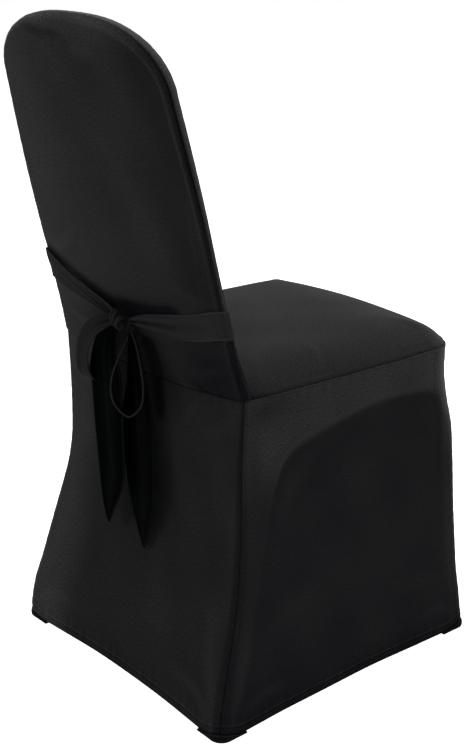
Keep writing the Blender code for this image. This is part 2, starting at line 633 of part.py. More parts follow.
def soft_lump(name, centre, size, material, collection):
    """A rounded lump of gathered cloth from a cage with Subdivision Surface, leaning like the backrest."""
    mesh = bpy.data.meshes.new(name)
    cage = bmesh.new()
    bmesh.ops.create_cube(cage, size=1.0)
    for vert in cage.verts:
        vert.co = [c + 1.35 * s * v for c, s, v in zip(centre, size, vert.co)]
        vert.co.y += (vert.co.z - centre[2]) * math.tan(LEAN)
    cage.to_mesh(mesh)
    cage.free()
    obj = place_mesh(name, mesh, material, collection)
    round_off = obj.modifiers.new("rounding", "SUBSURF")
    round_off.levels = 2
    round_off.render_levels = 2
    return obj


def make_tie(name, lump, runs, material, collection, cutters):
    """One tie: its band, loop and tail, joined where they are gathered in the bow's knot."""
    core = soft_lump(name, *lump, material, collection)
    for label, steps in runs:
        run = panel(f"{name}_{label}", ribbon_rows(steps), material, cutters, TIE_CLOTH, 0.0)
        run.hide_render = True
        run.display_type = "WIRE"
        join = core.modifiers.new(label, "BOOLEAN")
        join.operation = "UNION"
        join.solver = "EXACT"
        join.use_self = True
        join.object = run
    return core


def main():
    """Clears the scene and makes the cover."""
    for obj in list(bpy.data.objects):
        bpy.data.objects.remove(obj, do_unlink=True)
    collection = bpy.data.collections.new(COLLECTION_NAME)
    cutters = bpy.data.collections.new("joined_runs")
    bpy.context.scene.collection.children.link(collection)
    bpy.context.scene.collection.children.link(cutters)
    knit = new_material("black_stretch_knit", (0.012, 0.012, 0.014), 0.72)
    tie_knit = new_material("black_tie_knit", (0.009, 0.009, 0.011), 0.76)
    outline = back_outline()
    make_back_face("back_rear_panel", outline, False, knit, collection)
    make_back_face("back_front_panel", outline, True, knit, collection)
    make_boxing(outline, knit, collection)
    make_seat(outline, knit, collection)
    make_skirt(knit, collection)
    corners = ("front_right", "front_left", "rear_left", "rear_right")
    for i, corner in enumerate(corners):
        make_pocket(f"foot_pocket_{corner}", WALLS[i], WALLS[(i + 1) % 4], knit, collection)
    left_runs = (("band", BAND_LEFT), ("loop", LOOP_LEFT), ("tail", TAIL_LEFT))
    right_runs = (("band", BAND_RIGHT), ("loop", LOOP_RIGHT), ("tail", TAIL_RIGHT))
    make_tie("tie_left", (KNOT, KNOT_SIZE), left_runs, tie_knit, collection, cutters)
    make_tie("tie_right", (NECK, NECK_SIZE), right_runs, tie_knit, collection, cutters)


if __name__ == "__main__":
    main()
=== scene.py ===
"""The looks of a fitted stretch cover for a banquet chair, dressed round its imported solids.

Every panel is a fine sheet on the same sections as its solid. Its seams are turned in, its hems are
doubled, and its creases are pressed in one by one. Metres, +Z up, floor at Z = 0; the chair faces -Y.
"""

import logging
import math
from collections.abc import Sequence
from dataclasses import dataclass, replace
from enum import Enum

import bpy
import numpy as np
from mathutils import Matrix, Vector


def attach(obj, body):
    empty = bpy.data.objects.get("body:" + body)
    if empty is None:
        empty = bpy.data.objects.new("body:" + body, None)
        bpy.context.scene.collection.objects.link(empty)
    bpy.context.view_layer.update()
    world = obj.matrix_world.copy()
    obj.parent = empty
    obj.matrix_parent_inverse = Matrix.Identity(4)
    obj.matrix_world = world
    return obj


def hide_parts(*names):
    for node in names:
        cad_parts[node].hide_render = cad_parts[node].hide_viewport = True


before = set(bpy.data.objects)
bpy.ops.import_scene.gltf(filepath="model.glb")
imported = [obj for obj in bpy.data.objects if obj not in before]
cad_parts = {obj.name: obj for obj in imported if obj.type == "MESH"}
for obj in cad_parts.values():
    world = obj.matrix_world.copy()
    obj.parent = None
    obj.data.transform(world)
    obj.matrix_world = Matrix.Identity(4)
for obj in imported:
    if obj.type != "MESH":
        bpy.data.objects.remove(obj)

LOG = logging.getLogger("chair_cover")
IMAGE_HEIGHT = 750

Points = Sequence[tuple[float, float]]
Pair = tuple[np.ndarray, np.ndarray]
TINY = 1e-9
MICROMETRES = 1e6
QUARTER = math.pi / 4


class Slot(Enum):
    """The record's material slots."""

    COVER = "cover_knit"
    TIE = "tie_knit"


class Profile(Enum):
    """The section of a crease."""

    VALLEY = "valley"
    RIDGE = "ridge"
    PINCH = "pinch"


@dataclass(frozen=True)
class CoverSizes:
    """Sizes that every panel shares."""

    cloth: float = 0.0016
    tie_cloth: float = 0.0020
    seam_gap: float = 0.0001
    seam_lift: float = 0.0004
    seam_inset: float = 0.0020
    flange: float = 0.0030
    centre_y: float = 0.0344
    seat_seam_z: float = 0.464
    sway: float = 0.010
    waist_sag: float = 0.016

    def placed(self, points: np.ndarray) -> np.ndarray:
        """Moves points from the sections' own frame to the cover's.

        Args:
            points: Points with x, y and z last.

        Returns:
            The same points, swayed above the seat and centred front to back.
        """
        moved = points.copy()
        moved[..., 0] += self.sway * np.maximum(points[..., 2] - self.seat_seam_z, 0.0)
        moved[..., 1] -= self.centre_y
        return moved


SIZES = CoverSizes()


def smooth_curve(places: np.ndarray, values: np.ndarray, at: np.ndarray) -> np.ndarray:
    """Reads a smooth curve through a table's values.

    Args:
        places: Where the values stand, rising.
        values: One value or one row for each place.
        at: The places asked for, of any shape.

    Returns:
        The values there, with the shape of at and then that of a row.
    """
    slopes = np.gradient(values, places, axis=0)
    i = np.clip(np.searchsorted(places, at) - 1, 0, len(places) - 2)
    step = places[i + 1] - places[i]
    t = (np.clip(at, places[0], places[-1]) - places[i]) / step
    if np.ndim(values) > 1:
        t, step = t[..., None], step[..., None]
    ends = (1 + 2 * t) * (1 - t) ** 2 * values[i] + t**2 * (3 - 2 * t) * values[i + 1]
    return ends + step * t * (1 - t) * ((1 - t) * slopes[i] - t * slopes[i + 1])


def smooth_step(x: np.ndarray | float) -> np.ndarray:
    """Rises smoothly from 0 to 1 as x does."""
    t = np.clip(x, 0.0, 1.0)
    return t * t * (3 - 2 * t)


def bell(x: np.ndarray) -> np.ndarray:
    """A soft bump of height 1 at 0 that is nearly gone at 2."""
    return np.exp(-x * x)


def runs(*pieces: tuple[float, float, int]) -> np.ndarray:
    """Joins evenly spaced runs of places.

    Args:
        pieces: The first place, the last place and the number of steps of each run.

    Returns:
        All the places, each meeting point once.
    """
    parts = [np.linspace(start, end, steps + 1)[:-1] for start, end, steps in pieces]
    return np.concatenate([*parts, [pieces[-1][1]]])


def ripple(u: np.ndarray, pitch: float, phase: float = 0.0) -> np.ndarray:
    """An uneven wave along a seam, about 1 high.

    Args:
        u: Distance along the seam.
        pitch: The mean distance between crests.
        phase: Shifts the pattern.

    Returns:
        The wave's height at each place.
    """
    turn = 2 * math.pi * u / pitch
    return 0.6 * np.sin(turn + phase) + 0.4 * np.sin(1.62 * turn + 2.1 * phase + 0.8 * np.sin(0.37 * turn))


def slow_drift(u: np.ndarray, v: np.ndarray, scale: float, phase: float) -> np.ndarray:
    """Broad uneven swells over a cloth, about 1 high.

    Args:
        u: Distance across the cloth.
        v: Distance along it.
        scale: Size of a swell.
        phase: Shifts the pattern.

    Returns:
        The swell's height at each point.
    """
    a, b = u / scale, v / scale
    first = np.sin(a + 0.7 * b + phase) * np.sin(0.8 * b - 0.5 * a + 1.7 * phase)
    return first + 0.5 * np.sin(1.9 * a - 1.1 * b + 2.3 * phase)


def travelled(points: np.ndarray, axis: int = 0) -> np.ndarray:
    """Distance along rows or columns of points.

    Args:
        points: Points with their coordinates last.
        axis: The axis that the way follows.

    Returns:
        The distance to each point, from 0 at the first.
    """
    steps = np.linalg.norm(np.diff(points, axis=axis), axis=-1)
    start = np.zeros_like(np.take(steps, [0], axis=axis))
    return np.concatenate((start, np.cumsum(steps, axis=axis)), axis)


@dataclass(frozen=True)
class Stripe:
    """A soft stripe along a seam: its height, its distance from the seam and its half width."""

    height: float
    place: float
    width: float

    def at(self, distance: np.ndarray) -> np.ndarray:
        """The stripe's height at distances from the seam."""
        return self.height * bell((distance - self.place) / self.width)


@dataclass(frozen=True)
class Ramp:
    """A smooth change from nothing at its start to its full height one width on."""

    height: float
    start: float
    width: float

    def at(self, place: np.ndarray) -> np.ndarray:
        """The ramp's height at places."""
        return self.height * smooth_step((place - self.start) / self.width)


@dataclass(frozen=True)
class Pucker:
    """Small uneven gathers along a seam."""

    stripe: Stripe
    pitch: float
    phase: float

    def at(self, distance: np.ndarray, along: np.ndarray) -> np.ndarray:
        """The gathers' height at distances from the seam and along it."""
        return self.stripe.at(distance) * ripple(along, self.pitch, self.phase)


@dataclass(frozen=True)
class WaistGather:
    """Gathers beside the seam across the back, deepest behind the rear legs."""

    stripe: Stripe
    coarse: tuple[float, float]
    fine: tuple[float, float]
    fine_share: float = 0.4
    between_legs: float = 0.30
    at_legs: Stripe = Stripe(0.70, 0.150, 0.060)

    def at(self, distance: np.ndarray, x: np.ndarray) -> np.ndarray:
        """The gathers' height at distances from the seam and across the back."""
        waves = ripple(x, *self.coarse) + self.fine_share * ripple(x, *self.fine)
        return self.stripe.at(distance) * waves * (self.between_legs + self.at_legs.at(np.abs(x)))


@dataclass(frozen=True)
class Swell:
    """Broad uneven swells over a cloth, or clouds in its tone."""

    height: float
    scale: float

    def at(self, u: np.ndarray, v: np.ndarray, phase: float) -> np.ndarray:
        """The swells' height at each point."""
        return self.height * slow_drift(u, v, self.scale, phase)


def line_distance(line: np.ndarray, u: np.ndarray, v: np.ndarray) -> Pair:
    """Distance of points from a line through points.

    Args:
        line: The line's points, two numbers each.
        u: First coordinate of the points asked for.
        v: Second coordinate.

    Returns:
        The signed distance, positive to the left of the line's way, and the share of its length.
    """
    best = np.full(u.shape, np.inf)
    signed = np.zeros(u.shape)
    share = np.zeros(u.shape)
    steps = np.diff(line, axis=0)
    lengths = np.maximum(np.linalg.norm(steps, axis=1), TINY)
    travel = np.concatenate(([0.0], np.cumsum(lengths)))
    for start, step, length, before in zip(line, steps, lengths, travel):
        du, dv = u - start[0], v - start[1]
        t = np.clip((du * step[0] + dv * step[1]) / length**2, 0.0, 1.0)
        away = np.hypot(du - t * step[0], dv - t * step[1])
        nearer = away < best
        side = np.where(step[0] * dv - step[1] * du >= 0, 1.0, -1.0)
        best = np.where(nearer, away, best)
        signed = np.where(nearer, away * side, signed)
        share = np.where(nearer, (before + t * length) / travel[-1], share)
    return signed, share


def smooth_line(points: Points, splits: int = 8) -> np.ndarray:
    """A smooth line through a few points, for distances.

    Args:
        points: The points.
        splits: Steps between one point and the next.

    Returns:
        The line's points.
    """
    table = np.array(points, float)
    travel = travelled(table)
    return smooth_curve(travel, table, np.linspace(0.0, travel[-1], splits * (len(points) - 1) + 1))


def arch(half: Points) -> Points:
    """An arch from its foot up to the middle, and its mirror image down again."""
    return (*half, *((-u, v) for u, v in half[-2::-1]))


@dataclass(frozen=True)
class Crease:
    """A fold pressed into a cloth along a line in the cloth's own two coordinates, with painted shade in
    its valley and a painted highlight on a ridge.
    """

    points: Points
    depth: float
    width: float
    profile: Profile = Profile.VALLEY
    fade: float = 0.35
    # How strongly the crease paints shade into its valley, and a highlight onto a ridge.
    tone: float = 110.0

    LINE_SPLITS = 4
    SHOULDER_AT = 1.5
    SHOULDER_DEPTH = 0.55

    def offset(self, u: np.ndarray, v: np.ndarray) -> np.ndarray:
        """How far the crease moves the cloth outwards.

        Args:
            u: First coordinate of the cloth's points.
            v: Second coordinate.

        Returns:
            The move outwards at each point, negative in a valley.
        """
        away, share = line_distance(smooth_line(self.points, self.LINE_SPLITS), u, v)
        ends = smooth_step(share / self.fade) * smooth_step((1 - share) / self.fade)
        x = away / self.width
        if self.profile is Profile.PINCH:
            shoulders = bell(x - self.SHOULDER_AT) + bell(x + self.SHOULDER_AT)
            return self.depth * ends * (bell(x) - self.SHOULDER_DEPTH * shoulders)
        return self.depth * ends * bell(x) * (1 if self.profile is Profile.RIDGE else -1)


def both_sides(*creases: Crease) -> tuple[Crease, ...]:
    """Each crease and its mirror image on the chair's other side."""
    pairs = ((crease, replace(crease, points=[(-u, v) for u, v in crease.points])) for crease in creases)
    return tuple(crease for pair in pairs for crease in pair)


@dataclass
class ClothGrid:
    """Rows and columns of points on one cloth, with what the knit needs to know at each, including a colour
    value that holds painted shade and painted highlights as well as tautness.
    """

    points: np.ndarray
    knit: np.ndarray
    # This value holds how taut the knit is together with painted shade and painted highlights; it sets the
    # knit's colour.
    stretch: np.ndarray

    def normals(self) -> np.ndarray:
        """Outward directions, where rows go up and columns go round.

        Returns:
            A unit vector at each point.
        """
        up = np.gradient(self.points, axis=0)
        around = np.gradient(self.points, axis=1)
        normal = np.cross(around, up)
        return normal / np.maximum(np.linalg.norm(normal, axis=-1), 1e-12)[..., None]

    def pressed(
        self, out: np.ndarray, creases: Sequence[Crease], u: np.ndarray, v: np.ndarray
    ) -> np.ndarray:
        """Adds creases to a move outwards, and paints shade into their valleys and highlights onto their
        ridges.

        Args:
            out: How far each point moves outwards so far.
            creases: The creases.
            u: First coordinate of the cloth's points.
            v: Second coordinate.

        Returns:
            The whole move outwards.
        """
        for crease in creases:
            moved = crease.offset(u, v)
            out = out + moved
            # Painted shade in each valley and a painted highlight on each ridge, in step with the crease's
            # depth.
            self.stretch = self.stretch + crease.tone * moved
        return out

    def pushed(self, out: np.ndarray, flat_columns: Sequence[int] = ()) -> "ClothGrid":
        """The grid moved along its own normals.

        Args:
            out: How far each point moves outwards.
            flat_columns: Columns on the middle plane, which stay on it.

        Returns:
            The moved grid.
        """
        normal = self.normals()
        for column in flat_columns:
            normal[:, column, 0] = 0.0
        return ClothGrid(self.points + normal * out[..., None], self.knit, self.stretch)

    def turned(self) -> "ClothGrid":
        """The grid with its columns in the other order."""
        return ClothGrid(self.points[:, ::-1], self.knit[:, ::-1], self.stretch[:, ::-1])


class ClothMaker:
    """Makes named pieces of cloth from grids of points."""

    def __init__(self, finishes: "Finishes") -> None:
        """Keeps the finishes for the pieces to come."""
        self.finishes = finishes

    @staticmethod
    def mesh_of(name: str, grids: Sequence[ClothGrid]) -> bpy.types.Mesh:
        """Joins grids into one mesh, with points that coincide made one.

        Args:
            name: The mesh's name.
            grids: The grids, whose shared edges have the same points.

        Returns:
            A mesh with a knit map in metres and a value at each point that holds tautness, painted shade
            and painted highlights.
        """
        points, knit, stretch, faces = [], [], [], []
        first = 0
        for grid in grids:
            rows, columns = grid.points.shape[:2]
            index = first + np.arange(rows * columns).reshape(rows, columns)
            corners = (index[:-1, :-1], index[:-1, 1:], index[1:, 1:], index[1:, :-1])
            faces.append(np.stack(corners, -1).reshape(-1, 4))
            points.append(grid.points.reshape(-1, 3))
            knit.append(grid.knit.reshape(-1, 2))
            stretch.append(grid.stretch.reshape(-1))
            first += rows * columns
        points, knit = np.concatenate(points), np.concatenate(knit)
        stretch, faces = np.concatenate(stretch), np.concatenate(faces)
        exact = np.round(points * MICROMETRES)
        _, keep, same = np.unique(exact, axis=0, return_index=True, return_inverse=True)
        faces = same.reshape(-1)[faces]
        whole = [len(set(face)) == 4 for face in faces.tolist()]
        mesh = bpy.data.meshes.new(name)
        mesh.from_pydata(points[keep].tolist(), [], faces[whole].tolist())
        layer = mesh.uv_layers.new(name="knit_map")
        corners = np.zeros(len(mesh.loops), int)
        mesh.loops.foreach_get("vertex_index", corners)
        layer.uv.foreach_set("vector", knit[keep][corners].astype(np.float32).ravel())
        # This attribute carries painted shade and painted highlights into the knit's colour, along with
        # tautness.
        value = mesh.attributes.new("stretch", "FLOAT", "POINT")
        value.data.foreach_set("value", stretch[keep].astype(np.float32))
        mesh.polygons.foreach_set("use_smooth", np.ones(len(mesh.polygons), bool))
        mesh.validate()
        return mesh

    def piece(
        self,
        name: str,
        grids: Sequence[ClothGrid],
        nodes: Sequence[str],
        slot: Slot,
        thickness: float = SIZES.cloth,
        offset: float = -1.0,
    ) -> bpy.types.Object:
        """One piece of cloth in place of its solids.

        Args:
            name: The piece's name.
            grids: Its grids, already in the sections' own frame.
            nodes: The solids that it stands for.
            slot: Its material slot.
            thickness: The cloth's thickness.
            offset: -1 to thicken inwards and 0 to both sides.

        Returns:
            The new object, riding on the cover's one body.
        """
        placed = [ClothGrid(SIZES.placed(g.points), g.knit, g.stretch) for g in grids]
        obj = bpy.data.objects.new(name, self.mesh_of(name, placed))
        bpy.context.scene.collection.objects.link(obj)
        obj.data.materials.append(self.finishes.material(slot))
        solidify = obj.modifiers.new("thickness", "SOLIDIFY")
        solidify.thickness = thickness
        solidify.offset = offset
        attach(obj, "root")
        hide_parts(*nodes)
        LOG.info("%s: %d faces", name, len(obj.data.polygons))
        return obj


class KnitGroup:
    """The shader node group of the stretch knit, shared by the cover and its ties."""

    LOOP_SLANT = 1.1
    LOOP_HEIGHT = 0.35
    CLOUD_SCALE = 14.0
    CLOUD_AMOUNT = 0.12
    FUZZ_SCALE = 400.0
    FUZZ_AMOUNT = 1.3
    NOISE_DETAIL = 3.0
    GRAIN_STRETCHED = 2.2
    GRAIN_SLACK = 0.14
    ROUGHNESS = 0.70
    ROUGHNESS_GRAIN = 0.10

    def __init__(self) -> None:
        """Builds the group once."""
        self.tree = bpy.data.node_groups.new("stretch_knit", "ShaderNodeTree")
        self.build()

    def node(self, kind: str, **values: object) -> bpy.types.Node:
        """A new node with some of its settings.

        Args:
            kind: The node's type.
            values: Its settings by name.

        Returns:
            The node.
        """
        made = self.tree.nodes.new(kind)
        for name, value in values.items():
            setattr(made, name, value)
        return made

    def maths(self, operation: str, *inputs: object) -> bpy.types.NodeSocket:
        """A Math node fed by sockets or numbers.

        Args:
            operation: The node's operation.
            inputs: Its inputs in order.

        Returns:
            The node's output.
        """
        made = self.node("ShaderNodeMath", operation=operation)
        for socket, value in zip(made.inputs, inputs):
            if isinstance(value, bpy.types.NodeSocket):
                self.tree.links.new(value, socket)
            else:
                socket.default_value = value
        return made.outputs[0]

    def noise(self, place: bpy.types.NodeSocket, scale: float) -> bpy.types.NodeSocket:
        """Noise about 0.

        Args:
            place: Where on the cloth it is read.
            scale: How fine it is.

        Returns:
            The noise's socket.
        """
        made = self.node("ShaderNodeTexNoise")
        made.inputs["Scale"].default_value = scale
        made.inputs["Detail"].default_value = self.NOISE_DETAIL
        self.tree.links.new(place, made.inputs["Vector"])
        return self.maths("SUBTRACT", made.outputs[0], 0.5)

    def build(self) -> None:
        """Lays out the wales, the courses and the uneven tone, whose input brings painted shade and painted
        highlights with it.
        """
        face = self.tree.interface
        face.new_socket("Map", in_out="INPUT", socket_type="NodeSocketVector")
        for name, value in (("Pitch", 0.0009), ("Stretch", 0.5), ("Unevenness", 0.5)):
            face.new_socket(name, in_out="INPUT", socket_type="NodeSocketFloat").default_value = value
        face.new_socket("Height", in_out="OUTPUT", socket_type="NodeSocketFloat")
        face.new_socket("Tone", in_out="OUTPUT", socket_type="NodeSocketFloat")
        face.new_socket("Roughness", in_out="OUTPUT", socket_type="NodeSocketFloat")
        inside = self.node("NodeGroupInput")
        outside = self.node("NodeGroupOutput")
        apart = self.node("ShaderNodeSeparateXYZ")
        self.tree.links.new(inside.outputs["Map"], apart.inputs[0])
        across = self.maths("DIVIDE", apart.outputs[0], inside.outputs["Pitch"])
        along = self.maths("DIVIDE", apart.outputs[1], inside.outputs["Pitch"])
        wale = self.maths("ABSOLUTE", self.maths("SUBTRACT", self.maths("FRACT", across), 0.5))
        slant = self.maths("ADD", along, self.maths("MULTIPLY", wale, self.LOOP_SLANT))
        loops = self.maths("SINE", self.maths("MULTIPLY", slant, 2 * math.pi))
        rib = self.maths("SUBTRACT", 1.0, self.maths("MULTIPLY", wale, 2.0))
        height = self.maths("MULTIPLY_ADD", loops, self.LOOP_HEIGHT, rib)
        self.tree.links.new(height, outside.inputs["Height"])
        cloudy = self.noise(inside.outputs["Map"], self.CLOUD_SCALE)
        fuzz = self.noise(inside.outputs["Map"], self.FUZZ_SCALE)
        blur = self.maths("MULTIPLY_ADD", cloudy, self.CLOUD_AMOUNT, 0.0)
        grain = self.maths("MULTIPLY_ADD", fuzz, self.FUZZ_AMOUNT, blur)
        lively = self.maths(
            "MULTIPLY_ADD", inside.outputs["Stretch"], self.GRAIN_STRETCHED, self.GRAIN_SLACK
        )
        uneven = self.maths("MULTIPLY", self.maths("MULTIPLY", grain, lively), inside.outputs["Unevenness"])
        # The tone follows its input value, painted shade and painted highlights included.
        tone = self.maths("ADD", inside.outputs["Stretch"], uneven)
        bounded = self.maths("MINIMUM", self.maths("MAXIMUM", tone, 0.0), 1.0)
        self.tree.links.new(bounded, outside.inputs["Tone"])
        dull = self.maths("MULTIPLY_ADD", grain, self.ROUGHNESS_GRAIN, self.ROUGHNESS)
        self.tree.links.new(dull, outside.inputs["Roughness"])


@dataclass(frozen=True)
class KnitFinish:
    """A black knit, darker where it is loose and greyer where it is taut; the mix also paints shade and
    highlights.
    """

    name: str
    slack_and_shaded: tuple[float, float, float]
    stretched_and_lit: tuple[float, float, float]
    pitch: float
    unevenness: float
    relief: float
    specular: float
    sheen: float
    sheen_roughness: float
    loop_depth: float = 0.0002

    def build(self, group: KnitGroup) -> bpy.types.Material:
        """The finish as a material.

        Args:
            group: The shared knit group.

        Returns:
            The new material.
        """
        material = bpy.data.materials.new(self.name)
        material.use_nodes = True
        tree = material.node_tree
        shader = tree.nodes["Principled BSDF"]
        knit = tree.nodes.new("ShaderNodeGroup")
        knit.node_tree = group.tree
        knit.inputs["Pitch"].default_value = self.pitch
        knit.inputs["Unevenness"].default_value = self.unevenness
        place = tree.nodes.new("ShaderNodeUVMap")
        place.uv_map = "knit_map"
        stretch = tree.nodes.new("ShaderNodeAttribute")
        stretch.attribute_name = "stretch"
        # Mixes from the dark colour to the grey one by the tone, which holds painted shade and painted
        # highlights.
        shade = tree.nodes.new("ShaderNodeMix")
        shade.data_type = "RGBA"
        shade.inputs["A"].default_value = (*self.slack_and_shaded, 1.0)
        shade.inputs["B"].default_value = (*self.stretched_and_lit, 1.0)
        bump = tree.nodes.new("ShaderNodeBump")
        bump.inputs["Strength"].default_value = self.relief
        bump.inputs["Distance"].default_value = self.loop_depth
        tree.links.new(place.outputs[0], knit.inputs["Map"])
        tree.links.new(stretch.outputs["Fac"], knit.inputs["Stretch"])
        tree.links.new(knit.outputs["Tone"], shade.inputs["Factor"])
        tree.links.new(shade.outputs["Result"], shader.inputs["Base Color"])
        tree.links.new(knit.outputs["Roughness"], shader.inputs["Roughness"])
        tree.links.new(knit.outputs["Height"], bump.inputs["Height"])
        tree.links.new(bump.outputs["Normal"], shader.inputs["Normal"])
        shader.inputs["Specular IOR Level"].default_value = self.specular
        # The sheen's weight follows the tone too, so painted shade dulls the sheen and painted highlights
        # raise it.
        downy = tree.nodes.new("ShaderNodeMath")
        downy.operation = "MULTIPLY"
        downy.inputs[1].default_value = self.sheen
        tree.links.new(knit.outputs["Tone"], downy.inputs[0])
        tree.links.new(downy.outputs[0], shader.inputs["Sheen Weight"])
        shader.inputs["Sheen Roughness"].default_value = self.sheen_roughness
        return material


class Finishes:
    """The cover's finishes, each made once."""

    RECIPES = {
        Slot.COVER: KnitFinish(
            name="black_stretch_knit",
            slack_and_shaded=(0.0010, 0.0014, 0.0026),
            stretched_and_lit=(0.0270, 0.0268, 0.0272),
            pitch=0.0009,
            unevenness=0.8,
            relief=0.6,
            specular=0.03,
            sheen=0.24,
            sheen_roughness=0.40,
        ),
        Slot.TIE: KnitFinish(
            name="black_tie_knit",
            # The tie's dark colour, darker than the cover's, is painted shade for the hanging tails.
            slack_and_shaded=(0.0002, 0.0006, 0.0008),
            stretched_and_lit=(0.0290, 0.0290, 0.0288),
            pitch=0.0008,
            unevenness=0.5,
            relief=0.5,
            specular=0.008,
            sheen=0.03,
            sheen_roughness=0.5,
        ),
    }

    def __init__(self) -> None:
        """Builds the shared group and no material yet."""
        self.group = KnitGroup()
        self.made: dict[Slot, bpy.types.Material] = {}

    def material(self, slot: Slot) -> bpy.types.Material:
        """The material of a slot, made when it is first asked for.

        Args:
            slot: The slot.

        Returns:
            Its material.
        """
        if slot not in self.made:
            self.made[slot] = self.RECIPES[slot].build(self.group)
        return self.made[slot]


@dataclass(frozen=True)
class Backrest:
    """The backrest's pocket: a rear panel, a front panel and the boxing strip between them."""

    lean: float = math.radians(13.66)
    foot_y: float = 0.2000
    arch_half: float = 0.1900
    arch_start: float = 0.3972
    arch_rise: float = 0.0925
    arch_power: float = 2 / 2.6
    arch_spine: float = 0.50
    front_crown: float = 0.020
    rear_crown: float = 0.002
    crown_start: float = 0.12
    lift_fade: float = 0.120
    levelling: float = 0.150
    top_edge: float = 0.0215
    edge_round: float = 0.45
    edge_radius: float = 0.0120
    swell_fade: float = 0.05
    front_phase: float = 0.6
    rear_phase: float = 2.1
    cloud_phase: float = 3.0
    far_ridge: float = 0.50
    low_ridge: float = 0.25
    tone: float = 0.31
    # The boxing's tones paint a highlight higher up, shade in its top fold and shade along its seams.
    boxing_tone: float = 0.15
    fold_depth: float = 0.0005
    fold_tone: float = 0.55
    high_tone: float = 0.25
    low_seam_tone: float = 0.06
    high_seam_tone: float = 0.74
    side_rows: int = 46
    arch_rows: int = 60
    arch_steps: int = 2000
    corner_columns: int = 9
    boxing_columns: int = 9
    rear_seam_angle: float = 24.0
    front_seam_angle: float = 62.0

    FOOT_ROWS = ((0.0, 0.012, 5), (0.012, 0.045, 7))
    FACE_COLUMNS = ((1.0, 0.88, 14), (0.88, 0.0, 40))
    RIBS = (
        (0.000, 0.2125, 0.0160),
        (0.045, 0.2064, 0.0115),
        (0.100, 0.2045, 0.0100),
        (0.180, 0.2035, 0.0100),
        (0.260, 0.2015, 0.0120),
        (0.330, 0.1965, 0.0140),
        (0.3972, 0.1900, 0.0160),
    )
    # Each crease's tone paints shade into its valley and a highlight onto its ridge. The tone=190 and
    # tone=170 creases paint a dark line and two bright lines under the top edge; the tone=330, tone=420 and
    # tone=1000 valleys are painted shadows of the left band, the right band and the right loop on the
    # panel.
    REAR_CREASES = (
        Crease(
            ((0.125, 0.4700), (0.085, 0.4655), (0.045, 0.4640), (0.000, 0.4670)),
            0.0011,
            0.0075,
            tone=190.0,
        ),
        Crease(
            ((0.140, 0.4790), (0.100, 0.4790), (0.060, 0.4795), (0.025, 0.4790)),
            0.0008,
            0.0045,
            Profile.RIDGE,
            tone=190.0,
        ),
        Crease(
            ((0.010, 0.4470), (-0.030, 0.4490), (-0.070, 0.4480)),
            0.0007,
            0.0110,
            Profile.RIDGE,
            tone=170.0,
        ),
        Crease(
            ((-0.184, 0.2700), (-0.180, 0.2100), (-0.172, 0.1500), (-0.170, 0.1200)),
            0.0003,
            0.0040,
            Profile.RIDGE,
        ),
        Crease(
            ((0.215, 0.1420), (0.150, 0.1120), (0.100, 0.0960), (0.030, 0.0770)),
            0.0012,
            0.0100,
            fade=0.12,
            tone=330.0,
        ),
        Crease(
            ((0.060, 0.0850), (0.000, 0.0840), (-0.050, 0.0900), (-0.130, 0.1060)),
            0.0012,
            0.0115,
            fade=0.25,
            tone=420.0,
        ),
        Crease(
            ((-0.010, 0.0520), (-0.018, 0.0250), (-0.016, -0.0150)),
            0.0004,
            0.0140,
            fade=0.15,
            tone=1000.0,
        ),
        Crease(((0.186, 0.3400), (0.176, 0.2400), (0.172, 0.1500)), 0.0003, 0.0120),
        Crease(((0.198, 0.1350), (0.150, 0.1500), (0.095, 0.1900)), 0.0007, 0.0095, Profile.PINCH),
        Crease(((-0.198, 0.1300), (-0.150, 0.1350), (-0.100, 0.1500)), 0.0004, 0.0090, Profile.PINCH),
        Crease(((-0.200, 0.0500), (-0.150, 0.0300), (-0.095, 0.0220)), 0.0004, 0.0070, Profile.PINCH),
        Crease(((0.200, 0.0550), (0.140, 0.0350), (0.085, 0.0280)), 0.0005, 0.0070, Profile.PINCH),
        Crease(((-0.150, -0.0080), (-0.120, 0.0060), (-0.085, 0.0150)), 0.0008, 0.0050),
    )
    FRONT_CREASES = (
        Crease(arch(((-0.140, 0.0600), (-0.070, 0.0360), (0.000, 0.0300))), 0.0016, 0.0120),
        *both_sides(
            Crease(((-0.185, 0.0900), (-0.140, 0.0520), (-0.105, 0.0400)), 0.0013, 0.0070, Profile.PINCH),
            Crease(((-0.180, 0.3200), (-0.168, 0.2200), (-0.172, 0.1300)), 0.0007, 0.0100),
        ),
    )

    NEAR_RIDGE = Ramp(0.50, -0.03, 0.10)
    UP_SIDE = Ramp(1.0, 0.16, 0.20)
    ABOVE_WAIST = Ramp(0.65, 0.09, 0.06)
    OVER_TOP = Ramp(1.0, 0.46, 0.10)

    SEAM_FOLD = Stripe(-0.0007, 0.0, 0.0016)
    ALLOWANCE = Stripe(0.0005, 0.0075, 0.0030)
    SEAM_PUCKER = Pucker(Stripe(0.00020, 0.004, 0.006), 0.023, 1.3)
    FOOT_FOLD = Stripe(-0.0004, 0.0, 0.0016)
    FOOT_GATHER = WaistGather(Stripe(0.00024, 0.003, 0.008), (0.023, 0.5), (0.0091, 2.0))
    SWELL = Swell(0.0005, 0.045)

